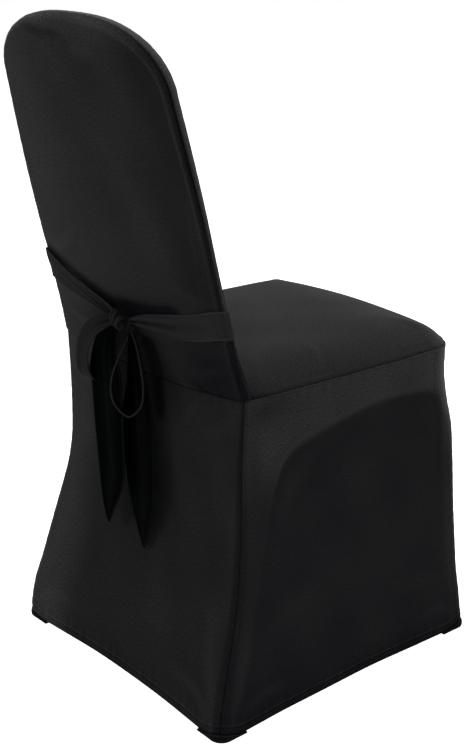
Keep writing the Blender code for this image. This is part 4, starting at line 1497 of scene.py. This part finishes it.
    def wall_tone(self, wall: Wall, place: np.ndarray, z: np.ndarray, proud: np.ndarray) -> np.ndarray:
        """How taut a wall is before its seams and its hem, with painted light and shade added.

        Args:
            wall: The wall.
            place: Each point's place along the wall.
            z: Its height.
            proud: 1 on the seat rail and the legs, and 0 inside.

        Returns:
            The stretch at each point.
        """
        if wall is Wall.REAR:
            return self.rear_tone + self.REAR_LEFT_TONE.at(place) + self.REAR_LOW_TONE.at(z)
        tone = self.side_tone + self.rail_tone * proud + self.LOW_TONE.at(-z)
        if wall is not Wall.FRONT:
            for across, upward in self.SIDE_PATCHES:
                tone = tone + across.at(place) * upward.at(z)
        return tone

    def dress(self, maker: ClothMaker) -> None:
        """Makes the four walls.

        Args:
            maker: Makes each piece of cloth.
        """
        cuts = {
            Wall.RIGHT: (0.47, 0.455, 0.190, "back_boxing"),
            Wall.FRONT: (0.42, 0.455, 0.175, "seat_panel"),
            Wall.LEFT: (0.47, 0.455, 0.190, "back_boxing"),
            Wall.REAR: (0.48, 0.445, 0.190, "back_rear_panel"),
        }
        for wall, (width, length, area, held_by) in cuts.items():
            node = wall.value[0]
            piece = maker.piece(f"{node}_wall", [self.dressed(wall)], (node,), Slot.COVER)


@dataclass(frozen=True)
class Seat:
    """The crowned seat panel."""

    crown: float = 0.030
    dome: float = 0.28
    reach: float = 0.190
    spine_front: float = 0.120
    spine_run: float = 0.045
    drawn_from: float = 0.13
    drawn_power: float = 1.5
    swell_fade: float = 0.05
    swell_phase: float = 4.4
    cloud_phase: float = 1.4
    tone: float = 0.43
    rear_rows: int = 8
    corner_rows: int = 9
    front_rows: int = 48

    SIDE_ROWS = ((0.05, 0.93, 66), (0.93, 1.0, 4))
    COLUMNS = ((1.0, 0.985, 8), (0.985, 0.93, 12), (0.93, 0.0, 42))

    CREASES = (
        *both_sides(
            Crease(((-0.185, 0.150), (-0.120, 0.172), (-0.060, 0.176)), 0.0005, 0.0100),
            Crease(((-0.190, 0.165), (-0.150, 0.130), (-0.120, 0.080)), 0.0004, 0.0110, Profile.PINCH),
            Crease(((-0.190, -0.190), (-0.160, -0.165), (-0.125, -0.140)), 0.0005, 0.0090, Profile.PINCH),
        ),
        Crease(((-0.198, 0.060), (-0.170, 0.040), (-0.140, 0.035)), 0.0005, 0.0070, Profile.PINCH),
    )

    SEAM_FOLD = Stripe(-0.0004, 0.0, 0.0016)
    SEAM_ROLL = Stripe(0.0003, 0.0040, 0.0020)
    SEAM_DIP = Stripe(-0.0003, 0.0100, 0.0040)
    SEAM_PUCKER = Pucker(Stripe(0.00024, 0.004, 0.008), 0.026, 0.9)
    REAR_FOLD = Stripe(-0.0004, 0.0, 0.0020)
    SWELL = Swell(0.0007, 0.05)

    # SEAM_TONE paints shade beside the seam and REAR_TONE paints shade along the backrest; FRONT_TONE
    # lightens the seat towards its front, and CLOUDS are uneven tone.
    FRONT_TONE = Ramp(0.12, 0.08, 0.12)
    SEAM_TONE = Stripe(-0.10, 0.002, 0.006)
    REAR_TONE = Stripe(-0.16, 0.0, 0.02)
    CLOUDS = Swell(0.025, 0.036)

    def rise(self, depth_in: np.ndarray, x: np.ndarray) -> np.ndarray:
        """How far the seat has risen.

        Args:
            depth_in: Distance in from its seam.
            x: Place across.

        Returns:
            The rise at each point.
        """
        power = self.reach / self.crown
        full = 1 + self.dome * np.maximum(1 - (x / Skirt.LEVELS[-1][4]) ** 2, 0.0)
        share = 1 - np.clip(depth_in, 0.0, self.reach) / self.reach
        return full * self.crown * (1 - share**power)

    def crease_lift(self, x: np.ndarray) -> np.ndarray:
        """Height of the crease between seat and backrest above the seat seam."""
        return self.rise(Backrest.RIBS[0][1] - SIZES.seam_inset - np.abs(x), x) + SIZES.seam_lift

    def edge(self, skirt: Skirt) -> np.ndarray:
        """The seat seam in plan, from the backrest down the sitter's right side to the front's middle.

        Args:
            skirt: The skirt, whose top the seam follows.

        Returns:
            Points in order, close together at the corner.
        """
        turn = QUARTER * np.linspace(0.0, 1.0, self.corner_rows)
        side = runs((skirt.seat_start, self.SIDE_ROWS[0][0], self.rear_rows), *self.SIDE_ROWS)
        z = SIZES.seat_seam_z
        inset = SIZES.seam_inset + SIZES.seam_gap
        straight, out = skirt.plan(Wall.RIGHT, np.full((1, len(side) + 2), z), (turn[:1], side, turn[:1]))
        first = (straight - out * inset)[0, 1:-1]
        heights = np.full((1, self.corner_rows + 2), z)
        round_in, out = skirt.plan(Wall.RIGHT, heights, (turn[:1], side[:1], -turn[::-1]))
        second = (round_in - out * inset)[0, 2:]
        round_out, out = skirt.plan(Wall.FRONT, heights, (turn, side[:1], turn[:1]))
        third = (round_out - out * inset)[0, : self.corner_rows]
        to_middle = np.linspace(1.0, 0.0, self.front_rows + 1)
        fourth = np.stack((third[-1, 0] * to_middle, np.full(len(to_middle), third[-1, 1])), -1)
        fourth[:, 1] += Skirt.LEVELS[-1][9] * (1 - (fourth[:, 0] / third[-1, 0]) ** 2)
        return np.concatenate((first, second[1:-1], third[1:], fourth[1:]))

    def depth_in(self, x: np.ndarray, y: np.ndarray, edge: np.ndarray) -> np.ndarray:
        """Distance in from the seat's seam, round its front corners too.

        Args:
            x: Place across.
            y: Place from front to back.
            edge: The seam in plan.

        Returns:
            The distance at each point.
        """
        radius = Skirt.LEVELS[-1][6] - SIZES.seam_inset
        middle_x = Skirt.LEVELS[-1][4] - Skirt.LEVELS[-1][6]
        middle_y = Skirt.LEVELS[-1][6] - Skirt.LEVELS[-1][5]
        bulge = -Skirt.LEVELS[-1][9] * np.maximum(1 - (x / middle_x) ** 2, 0.0)
        round_in = radius + bulge - np.hypot(np.maximum(np.abs(x) - middle_x, 0.0), middle_y - y)
        straight = edge[edge[:, 1] >= middle_y]
        half = np.interp(y, straight[::-1, 1], -straight[::-1, 0])
        side_in = np.minimum(half - np.abs(x), radius + bulge + y - middle_y)
        return np.where(y < middle_y, round_in, side_in)

    def grids(self, back: Backrest, skirt: Skirt) -> list[ClothGrid]:
        """Both halves of the seat with its seams, creases, and its colour value with painted shade.

        Args:
            back: The backrest, which the seat's rear edge meets.
            skirt: The skirt, whose top the seat's seam follows.

        Returns:
            The two halves' grids.
        """
        edge = self.edge(skirt)
        share = runs(*self.COLUMNS)[None, :]
        spine_y = np.maximum(edge[:, 1], -self.spine_front * np.ones(len(edge)))
        travel = travelled(edge)
        front = np.flatnonzero(edge[:, 1] < -self.spine_front)
        along_front = (travel[front] - travel[front[0]]) / (travel[-1] - travel[front[0]])
        spine_y[front] = -self.spine_front - self.spine_run * along_front
        x = edge[:, :1] * share
        y = spine_y[:, None] + (edge[:, 1] - spine_y)[:, None] * share
        rear = x[:1]
        depth = np.full_like(rear, back.outline()["edge"][0])
        crease = back.point(rear, np.zeros_like(rear), depth, self.crease_lift(rear))
        near = np.clip((edge[:, 1] - self.drawn_from) / (edge[0, 1] - self.drawn_from), 0.0, 1.0)
        y = y + near[:, None] ** self.drawn_power * (crease[..., 1] - SIZES.seam_gap - y[:1])
        z = SIZES.seat_seam_z + SIZES.seam_gap + self.rise(self.depth_in(x, y, edge), x)
        points = np.stack((x, y, z), -1)
        points[-1, :, 0] = 0.0
        points[:, -1, 0] = 0.0
        seam = travelled(points, 1)
        behind = np.linalg.norm(points - points[:1], axis=-1)
        halves = []
        for side in (1, -1):
            px, py = side * points[..., 0], points[..., 1]
            walked = travel[:, None] if side < 0 else 2 * travel[-1] - travel[:, None]
            out = self.SEAM_FOLD.at(seam) + self.SEAM_ROLL.at(seam) + self.SEAM_DIP.at(seam)
            out += self.SEAM_PUCKER.at(seam, walked) + self.REAR_FOLD.at(behind)
            out += self.SWELL.at(px, py, self.swell_phase) * smooth_step(seam / self.swell_fade)
            out[:, 0] -= SIZES.flange / 3
            out[0] -= SIZES.flange
            # Painted shade beside the seam and along the backrest.
            stretch = self.tone + self.FRONT_TONE.at(-py) + self.SEAM_TONE.at(seam)
            stretch += self.REAR_TONE.at(behind) + self.CLOUDS.at(px, py, self.cloud_phase)
            grid = ClothGrid(points * (side, 1, 1), np.stack((px, py), -1), stretch)
            out = grid.pressed(out, self.CREASES, px, py)
            sign = 1.0 if grid.normals()[40, 40, 2] > 0 else -1.0
            moved = grid.pushed(out * sign, (-1,))
            moved.points[-1, :, 0] = 0.0
            halves.append(moved if sign > 0 else moved.turned())
        return halves

    def dress(self, maker: ClothMaker, back: Backrest, skirt: Skirt) -> None:
        """Makes the seat panel.

        Args:
            maker: Makes the cloth.
            back: The backrest.
            skirt: The skirt.
        """
        piece = maker.piece("seat_top", self.grids(back, skirt), ("seat_panel",), Slot.COVER)


@dataclass(frozen=True)
class FootPockets:
    """A gusset sewn across each bottom corner, which the chair's foot stands in."""

    bulge: float = 0.0020
    chord: float = 0.62
    set_in: float = 0.008
    run: float = 0.8
    turned: float = 0.0008
    lap_in: float = 0.0022
    lap_up: float = 0.0030
    row_height: float = 0.006
    pucker: float = 0.0004
    pucker_pitch: float = 0.009
    tone: float = 0.10
    set_in_reach: float = 0.7
    low_swell: float = 0.5
    low_height: float = 0.0010
    swell_height: float = 0.55
    fold_up: float = 0.0006
    arm_columns: int = 12
    corner_columns: int = 17

    PLACES = (0.0, 1.0, 2.0, 2.5, 3.3, 4.0, 4.4, 4.8)
    ROWS = ((0.0, 1.9, 7), (1.9, 2.6, 5), (2.6, 4.0, 10), (4.0, 4.8, 8))
    PUCKERED = Stripe(1.0, 3.4, 0.5)
    SEAM_TONE = Stripe(0.35, 3.9, 0.12)
    CORNERS = (
        ("foot_pocket_front_right", Wall.RIGHT, Wall.FRONT),
        ("foot_pocket_front_left", Wall.FRONT, Wall.LEFT),
        ("foot_pocket_rear_left", Wall.LEFT, Wall.REAR),
        ("foot_pocket_rear_right", Wall.REAR, Wall.RIGHT),
    )

    def grid(self, before: Wall, after: Wall, skirt: Skirt) -> ClothGrid:
        """One pocket from its inner edge on the floor out and up to its seam.

        Args:
            before: The wall that ends at this corner.
            after: The wall that begins here.
            skirt: The skirt.

        Returns:
            The pocket's grid.
        """
        low = skirt.level(np.array([[skirt.pocket_height / 2]]))
        corner = before.value[2]
        turn = QUARTER
        seam, _ = skirt.corner(corner, low, np.zeros((1, 1)))
        steps = np.linspace(1.0, 0.0, self.arm_columns + 1)[:-1, None]
        arms = []
        for other, at in ((before.value[1], -turn), (after.value[2], turn)):
            begin, out = skirt.corner(corner, low, np.full((1, 1), at))
            goal, _ = skirt.corner(other, low, np.full((1, 1), -at))
            way = (goal - begin)[0, 0] / np.linalg.norm(goal - begin)
            arm = begin[0, 0] + way * skirt.pocket_reach * self.run * steps
            arms.append((arm, np.broadcast_to(out[0, 0], arm.shape)))
        angles = np.linspace(-turn, turn, self.corner_columns)[None, :]
        levels = np.broadcast_to(low, (1, self.corner_columns, low.shape[-1]))
        round_it, round_out = skirt.corner(corner, levels, angles)
        walk = np.concatenate((arms[0][0], round_it[0], arms[1][0][::-1]))
        out = np.concatenate((arms[0][1], round_out[0], arms[1][1][::-1]))
        reach = np.linalg.norm(walk - seam[0, 0], axis=1)
        near = 1 - smooth_step(reach / skirt.pocket_reach)
        top = skirt.hem_height + (skirt.pocket_height - skirt.hem_height) * near - SIZES.seam_lift
        first, last = walk[0], walk[-1]
        chord = first + (last - first) * np.linspace(0.0, 1.0, len(walk))[:, None]
        back = walk - out * self.set_in
        drawn = self.chord * (1 - smooth_step(reach / skirt.pocket_reach * self.set_in_reach))
        inner = back + (chord - back) * drawn[:, None]
        swell = (self.bulge * near)[:, None]
        flat = np.zeros(len(walk))
        stops = [
            np.column_stack((inner, flat)),
            np.column_stack(((inner + walk) / 2, flat)),
            np.column_stack((walk - out * self.turned, flat)),
            np.column_stack((walk + out * swell * self.low_swell, flat + self.low_height)),
            np.column_stack((walk + out * swell, top * self.swell_height)),
            np.column_stack((walk, top)),
            np.column_stack((walk - out * self.lap_in, top + self.fold_up)),
            np.column_stack((walk - out * self.lap_in, top + self.lap_up)),
        ]
        rows = runs(*self.ROWS)
        table = np.array(stops)
        read = smooth_curve(np.array(self.PLACES), table.reshape(len(stops), -1), rows)
        points = read.reshape(len(rows), *table.shape[1:])
        points[..., 2] = np.maximum(points[..., 2], 0.0)
        travel = travelled(walk)[None, :]
        up = (rows * self.row_height)[:, None]
        pucker = self.pucker * ripple(travel, self.pucker_pitch, float(before.value[1][0]))
        points[..., :2] += out * (pucker * self.PUCKERED.at(rows[:, None]))[..., None]
        stretch = np.full(points.shape[:2], self.tone) + self.SEAM_TONE.at(rows[:, None])
        return ClothGrid(points, np.stack(np.broadcast_arrays(travel, up), -1), stretch)

    def dress(self, maker: ClothMaker, skirt: Skirt) -> None:
        """Makes the four pockets.

        Args:
            maker: Makes each piece of cloth.
            skirt: The skirt that they are sewn to.
        """
        for node, before, after in self.CORNERS:
            piece = maker.piece(f"{node}_gusset", [self.grid(before, after, skirt)], (node,), Slot.COVER)


Step = tuple[float, float, float, float, float, float, float, float]


@dataclass(frozen=True)
class Ribbon:
    """One run of a tie: steps of x, y, z, width, turn, rise, cup and wave, with its pleats."""

    steps: tuple[Step, ...]
    pleats: float
    pleat_depth: float
    pleat_reach: float
    from_start: bool
    # tone and edge_tone paint the run lit or shaded with highlighted edges; pleat_dark and pleat_contrast
    # paint shade into its pleats near the knot.
    tone: float = 0.3
    edge_tone: float = 0.3
    row_length: float = 0.0026
    fewest_rows: int = 40
    columns: int = 41
    sway: float = 0.075
    sway_turns: float = 3.1
    pleat_dark: float = 0.45
    pleat_contrast: float = 0.30

    PIPING = (Stripe(0.0004, 0.0022, 0.0012), Stripe(-0.0004, 0.0045, 0.0012))
    EDGE = Stripe(1.0, 0.0, 0.0022)
    SWELL = Swell(0.0006, 0.028)

    def grid(self) -> ClothGrid:
        """The run as rows across the strap.

        Returns:
            Its grid, gathered into pleats that fade with distance from the knot.
        """
        table = np.array(self.steps, float)
        table[:, 4:6] = np.radians(table[:, 4:6])
        travel = travelled(table[:, :3])
        rows = max(int(travel[-1] / self.row_length), self.fewest_rows)
        at = np.linspace(0.0, travel[-1], rows + 1)
        read = smooth_curve(travel, table, at)
        centre = read[:, :3]
        ways = np.gradient(centre, axis=0)
        _, turn, rise, _, _ = read[:, 3:].T
        across = np.stack((np.cos(rise) * np.cos(turn), np.cos(rise) * np.sin(turn), np.sin(rise)), -1)
        normal = np.cross(ways, across)
        normal /= np.linalg.norm(normal, axis=1)[:, None]
        at = at[:, None]
        width, _, _, cup, wave = (column[:, None] for column in read[:, 3:].T)
        v = np.sin(np.linspace(-1.0, 1.0, self.columns) * math.pi / 2)[None, :]
        gather = bell((at if self.from_start else travel[-1] - at) / self.pleat_reach)
        sway = self.sway * np.sin(self.sway_turns * at / travel[-1] + self.pleats)
        folds = np.cos(math.pi * self.pleats * (v + sway))
        edge = (1 - np.abs(v)) * width / 2
        bend = cup * (1 - v * v) + wave * np.sin(math.pi * v)
        bend = bend + self.pleat_depth * gather * folds * (1 - v**4)
        bend = bend + sum(stripe.at(edge) for stripe in self.PIPING) * (1 - gather)
        bend = bend + self.SWELL.at(v * width, at, self.pleats) * (1 - np.abs(v) ** 3)
        sideways = width / 2 * v
        points = centre[:, None] + across[:, None] * sideways[..., None] + normal[:, None] * bend[..., None]
        # Painted shade over the pleats near the knot, in bands that follow the folds, and painted
        # highlights along the edges.
        stretch = self.tone * (1 - (self.pleat_dark + self.pleat_contrast * folds) * gather)
        stretch = stretch + self.edge_tone * self.EDGE.at(edge)
        return ClothGrid(points, np.stack(np.broadcast_arrays(sideways, at), -1), stretch)


@dataclass(frozen=True)
class Bow:
    """Two ties sewn to the backrest's sides and tied behind, and the knot that holds them."""

    knot: tuple[float, float, float] = (0.023, 0.2335, 0.526)
    knot_size: tuple[float, float, float] = (0.0115, 0.0100, 0.0165)
    neck: tuple[float, float, float] = (0.0170, 0.2175, 0.5135)
    neck_size: tuple[float, float, float] = (0.0095, 0.0050, 0.0160)
    lump_cloth: float = 0.0008
    lump_columns: int = 73
    lump_rows: int = 49
    wrap_slope: float = 0.35
    wrap_bend: float = 0.6
    wrap_bend_turns: float = 2.2
    wrap_height: float = 0.07
    squareness: float = 0.06
    knit_width: float = 0.02
    knit_height: float = 0.03
    # lump_tone and wrap_tone paint the knot with highlights on its wraps and shade between them.
    lump_tone: float = 0.40
    wrap_tone: float = 0.22

    BAND_RIGHT = (
        (-0.2070, 0.2165, 0.5680, 0.040, 90, 76.3, 0.000, 0.000),
        (-0.2056, 0.2258, 0.5676, 0.040, 90, 76.3, 0.000, 0.000),
        (-0.1965, 0.2278, 0.5660, 0.040, 90, 76.3, 0.000, 0.000),
        (-0.1500, 0.2246, 0.5525, 0.039, 90, 76.3, 0.000, 0.000),
        (-0.1000, 0.2222, 0.5410, 0.037, 90, 76.3, -0.001, 0.000),
        (-0.0500, 0.2210, 0.5335, 0.030, 90, 76.3, -0.002, 0.000),
        (-0.0120, 0.2202, 0.5285, 0.019, 90, 76.3, -0.002, 0.000),
        (0.0150, 0.2190, 0.5230, 0.009, 90, 76.3, 0.000, 0.000),
    )
    BAND_LEFT = (
        (0.2070, 0.2170, 0.5710, 0.044, 90, 76.3, 0.000, 0.000),
        (0.2056, 0.2265, 0.5706, 0.044, 90, 76.3, 0.000, 0.000),
        (0.1965, 0.2286, 0.5690, 0.043, 90, 76.3, 0.000, 0.000),
        (0.1500, 0.2240, 0.5490, 0.033, 90, 76.3, 0.001, 0.000),
        (0.1000, 0.2222, 0.5370, 0.026, 90, 76.3, 0.002, 0.000),
        (0.0600, 0.2236, 0.5305, 0.019, 90, 76.3, 0.002, 0.000),
        (0.0270, 0.2300, 0.5265, 0.010, 90, 76.3, 0.000, 0.000),
    )
    LOOP_RIGHT = (
        (0.0160, 0.2178, 0.5130, 0.009, 142, 8, 0.000, 0.000),
        (0.0040, 0.2205, 0.5050, 0.015, 142, 8, 0.001, 0.000),
        (-0.0160, 0.2270, 0.4880, 0.023, 142, 8, 0.001, 0.000),
        (-0.0270, 0.2295, 0.4650, 0.026, 142, 8, 0.001, 0.000),
        (-0.0287, 0.2280, 0.4387, 0.026, 142, 8, 0.001, 0.000),
        (-0.0250, 0.2316, 0.4120, 0.026, 142, 8, 0.001, 0.000),
        (-0.0135, 0.2424, 0.3990, 0.026, 142, 8, 0.001, 0.000),
        (-0.0010, 0.2545, 0.4120, 0.026, 142, 8, 0.001, 0.000),
        (0.0043, 0.2598, 0.4370, 0.026, 142, 8, 0.001, 0.000),
        (0.0020, 0.2560, 0.4640, 0.024, 142, 8, 0.001, 0.000),
        (0.0040, 0.2420, 0.4860, 0.018, 142, 8, 0.001, 0.000),
        (0.0120, 0.2275, 0.4965, 0.012, 142, 8, 0.000, 0.000),
        (0.0200, 0.2178, 0.5040, 0.009, 142, 8, 0.000, 0.000),
    )
    LOOP_LEFT = (
        (0.0260, 0.2330, 0.5270, 0.010, -10, 70, 0.000, 0.000),
        (0.0450, 0.2380, 0.5200, 0.018, -10, 60, 0.001, 0.000),
        (0.0720, 0.2420, 0.5060, 0.026, -8, 44, 0.002, 0.000),
        (0.0940, 0.2430, 0.4830, 0.030, -5, 22, 0.002, 0.000),
        (0.1040, 0.2420, 0.4560, 0.031, -2, 8, 0.002, 0.000),
        (0.1050, 0.2385, 0.4320, 0.031, 0, 0, 0.001, 0.000),
        (0.1030, 0.2305, 0.4210, 0.031, 0, 0, 0.001, 0.000),
        (0.1010, 0.2225, 0.4330, 0.031, 0, 0, 0.001, 0.000),
        (0.0970, 0.2195, 0.4580, 0.029, -2, 8, 0.001, 0.000),
        (0.0840, 0.2205, 0.4870, 0.026, -5, 24, 0.001, 0.000),
        (0.0590, 0.2245, 0.5090, 0.019, -8, 48, 0.001, 0.000),
        (0.0290, 0.2300, 0.5215, 0.009, -10, 64, 0.000, 0.000),
    )
    TAIL_LEFT = (
        (0.0260, 0.2330, 0.5190, 0.010, 176, -44, 0.000, 0.000),
        (0.0360, 0.2345, 0.5060, 0.026, 176, -40, 0.002, 0.000),
        (0.0500, 0.2340, 0.4800, 0.055, 178, -26, 0.003, 0.001),
        (0.0575, 0.2325, 0.4500, 0.074, 180, -8, 0.002, 0.003),
        (0.0565, 0.2315, 0.4050, 0.075, 180, 0, 0.001, 0.003),
        (0.0540, 0.2310, 0.3450, 0.071, 180, 0, 0.001, 0.003),
        (0.0516, 0.2310, 0.2860, 0.062, 180, 0, 0.001, 0.003),
        (0.0560, 0.2310, 0.2560, 0.045, 180, 0, 0.001, 0.002),
        (0.0605, 0.2310, 0.2330, 0.026, 180, 0, 0.000, 0.001),
        (0.0620, 0.2310, 0.2105, 0.005, 180, 0, 0.000, 0.000),
    )
    TAIL_RIGHT = (
        (0.0175, 0.2170, 0.5080, 0.010, 180, 0, 0.000, 0.000),
        (0.0150, 0.2150, 0.4900, 0.022, 180, 0, 0.001, 0.000),
        (0.0100, 0.2145, 0.4600, 0.038, 180, 0, 0.001, 0.001),
        (0.0065, 0.2145, 0.4300, 0.052, 180, 0, 0.001, 0.002),
        (0.0050, 0.2160, 0.3950, 0.070, 180, 0, 0.000, 0.003),
        (0.0005, 0.2175, 0.3300, 0.073, 180, 0, 0.000, 0.003),
        (-0.0045, 0.2190, 0.2850, 0.066, 180, 0, 0.000, 0.003),
        (-0.0080, 0.2200, 0.2420, 0.046, 180, 0, 0.000, 0.002),
        (-0.0100, 0.2205, 0.2150, 0.024, 180, 0, 0.000, 0.001),
        (-0.0110, 0.2205, 0.1920, 0.005, 180, 0, 0.000, 0.000),
    )

    def runs_of(self, left: bool) -> list[ClothGrid]:
        """The band, loop and tail of one tie.

        Args:
            left: Whether it is the tie on the sitter's left.

        Returns:
            The three runs' grids.
        """
        # The tones paint the bands and the left loop lit, and the right loop and the tails in shade, each
        # with highlighted edges.
        if left:
            ribbons = (
                Ribbon(self.BAND_LEFT, 3.0, 0.0018, 0.11, False, 0.64, 0.36),
                Ribbon(self.LOOP_LEFT, 2.0, 0.0010, 0.05, True, 0.46, 0.25),
                Ribbon(self.TAIL_LEFT, 3.0, 0.0024, 0.09, True, 0.0, 0.16),
            )
        else:
            ribbons = (
                Ribbon(self.BAND_RIGHT, 2.0, 0.0016, 0.13, False, 0.66, 0.34),
                Ribbon(self.LOOP_RIGHT, 2.0, 0.0008, 0.05, True, 0.02, 0.60),
                Ribbon(self.TAIL_RIGHT, 2.6, 0.0022, 0.12, True, 0.03, 0.12),
            )
        return [ribbon.grid() for ribbon in ribbons]

    def lump(self, centre: Sequence[float], size: Sequence[float], folds: int) -> list[ClothGrid]:
        """A rounded lump of gathered cloth with wraps running round it.

        Args:
            centre: Its middle.
            size: Its half sizes.
            folds: How many wraps show over it.

        Returns:
            One closed grid.
        """
        turn = np.linspace(0.0, 2 * math.pi, self.lump_columns)[None, :]
        rise = np.linspace(-math.pi / 2, math.pi / 2, self.lump_rows)[:, None]
        sideways = np.cos(rise) * np.cos(turn)
        upward = np.sin(rise) * np.ones_like(turn)
        forward = np.cos(rise) * np.sin(turn)
        wrap = folds * (sideways + self.wrap_slope * upward)
        wrap = wrap + self.wrap_bend * np.sin(self.wrap_bend_turns * upward)
        crest = np.cos(math.pi * wrap) * np.cos(rise)
        swell = 1 + self.wrap_height * crest + self.squareness * np.cos(2 * turn) * np.cos(rise)
        local = np.stack(np.broadcast_arrays(sideways, forward, upward), -1)
        local = local * swell[..., None] * np.array(size)
        local[..., 1] += local[..., 2] * math.tan(Backrest.lean)
        points = local + np.array(centre)
        points[:, -1] = points[:, 0]
        knit = np.stack(np.broadcast_arrays(self.knit_width * sideways, self.knit_height * upward), -1)
        # Painted highlights on the wraps' crests and painted shade between them.
        return [ClothGrid(points, knit, self.lump_tone + self.wrap_tone * crest)]

    def dress(self, maker: ClothMaker) -> None:
        """Makes the two ties and their gathered lumps.

        Args:
            maker: Makes each piece of cloth.
        """
        for left, node, centre, size, folds, length in (
            (True, "tie_left", self.knot, self.knot_size, 3, 0.90),
            (False, "tie_right", self.neck, self.neck_size, 2, 0.86),
        ):
            straps = self.runs_of(left)
            strap = maker.piece(f"{node}_strap", straps, (node,), Slot.TIE, SIZES.tie_cloth, 0.0)
            wraps = self.lump(centre, size, folds)
            lump = maker.piece(f"{node}_knot", wraps, (node,), Slot.TIE, self.lump_cloth)


class Studio:
    """The floor, the soft light and the camera."""

    camera_at = Vector((-1.61595, 1.29998, 1.09908))
    azimuth = math.radians(231.4)
    elevation = math.radians(18.28)
    roll = math.radians(-0.16)
    focal_pixels = 1493.8
    sensor = 36.0
    axis_below_middle = -1.85
    nearest = 0.05
    farthest = 50.0
    air_light = 0.26
    floor_size = 14.0
    floor_drop = 0.0015
    cover_middle = Vector((0.0, 0.0, 0.45))

    WHITE = (1.0, 1.0, 1.0, 1.0)
    PAPER = (0.88, 0.88, 0.88, 1.0)
    SOFTBOXES = (
        ("overhead_softbox", (-0.2, -0.1, 2.9), (2.4, 2.4), 62.0),
        ("key_softbox", (1.9, 2.5, 1.5), (1.3, 1.6), 30.0),
        ("side_softbox", (-2.7, 0.2, 1.2), (1.4, 1.6), 15.0),
        ("front_softbox", (0.4, -3.0, 1.5), (1.6, 1.6), 18.0),
    )

    def set_camera(self) -> None:
        """Stands the camera where the photograph was taken from."""
        data = bpy.data.cameras.new("photo_camera")
        data.sensor_width = self.sensor
        data.lens = self.focal_pixels * self.sensor / IMAGE_HEIGHT
        data.shift_y = self.axis_below_middle / IMAGE_HEIGHT
        data.clip_start = self.nearest
        data.clip_end = self.farthest
        camera = bpy.data.objects.new("photo_camera", data)
        bpy.context.scene.collection.objects.link(camera)
        a, e = self.azimuth, self.elevation
        back = Vector((math.sin(a) * math.cos(e), -math.cos(a) * math.cos(e), math.sin(e)))
        right = Vector((math.cos(a), math.sin(a), 0.0))
        up = back.cross(right)
        c, n = math.cos(self.roll), math.sin(self.roll)
        turned_right = right * c - up * n
        turned_up = right * n + up * c
        turn = Matrix((turned_right, turned_up, back)).transposed().to_4x4()
        camera.matrix_world = Matrix.Translation(self.camera_at) @ turn
        bpy.context.scene.camera = camera

    def softbox(
        self, name: str, at: tuple[float, float, float], size: tuple[float, float], power: float
    ) -> None:
        """Hangs one rectangular light that faces the cover.

        Args:
            name: The light's name.
            at: Where it hangs.
            size: Its width and height.
            power: Its power in watts.
        """
        data = bpy.data.lights.new(name, "AREA")
        data.shape = "RECTANGLE"
        data.size, data.size_y = size
        data.energy = power
        lamp = bpy.data.objects.new(name, data)
        lamp.location = at
        lamp.rotation_euler = (Vector(at) - self.cover_middle).to_track_quat("Z", "Y").to_euler()
        bpy.context.scene.collection.objects.link(lamp)

    def lay_floor(self) -> None:
        """Lays pale paper under the cover, pure white where the camera sees it."""
        bpy.ops.mesh.primitive_plane_add(size=self.floor_size, location=(0.0, 0.0, -self.floor_drop))
        floor = bpy.context.object
        floor.name = "studio_floor"
        pale = bpy.data.materials.new("pale_paper")
        pale.use_nodes = True
        shader = pale.node_tree.nodes["Principled BSDF"]
        shader.inputs["Base Color"].default_value = self.PAPER
        shader.inputs["Roughness"].default_value = 0.9
        shader.inputs["Specular IOR Level"].default_value = 0.1
        shader.inputs["Emission Color"].default_value = self.WHITE
        seen = pale.node_tree.nodes.new("ShaderNodeLightPath")
        pale.node_tree.links.new(seen.outputs["Is Camera Ray"], shader.inputs["Emission Strength"])
        floor.data.materials.append(pale)

    def fill_air(self) -> None:
        """Lights the air softly, with pure white behind the cover."""
        world = bpy.data.worlds.new("studio_air")
        bpy.context.scene.world = world
        world.use_nodes = True
        tree = world.node_tree
        air = tree.nodes["Background"]
        paper = tree.nodes.new("ShaderNodeBackground")
        for background, strength in ((air, self.air_light), (paper, 1.0)):
            background.inputs["Color"].default_value = self.WHITE
            background.inputs["Strength"].default_value = strength
        seen = tree.nodes.new("ShaderNodeLightPath")
        choice = tree.nodes.new("ShaderNodeMixShader")
        tree.links.new(seen.outputs["Is Camera Ray"], choice.inputs[0])
        tree.links.new(air.outputs[0], choice.inputs[1])
        tree.links.new(paper.outputs[0], choice.inputs[2])
        tree.links.new(choice.outputs[0], tree.nodes["World Output"].inputs["Surface"])

    def build(self) -> None:
        """Sets the camera, the floor, the air and the softboxes."""
        self.set_camera()
        self.lay_floor()
        self.fill_air()
        bpy.context.scene.view_settings.view_transform = "Standard"
        for softbox in self.SOFTBOXES:
            self.softbox(*softbox)


def main() -> None:
    """Dresses the cover, piece by piece, and lights it."""
    logging.basicConfig(level=logging.INFO, format="%(name)s: %(message)s")
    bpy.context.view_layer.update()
    maker = ClothMaker(Finishes())
    back, seat, skirt = Backrest(), Seat(), Skirt()
    back.dress(maker, seat)
    seat.dress(maker, back, skirt)
    skirt.dress(maker)
    FootPockets().dress(maker, skirt)
    Bow().dress(maker)
    Studio().build()
    bpy.context.view_layer.update()


if __name__ == "__main__":
    main()
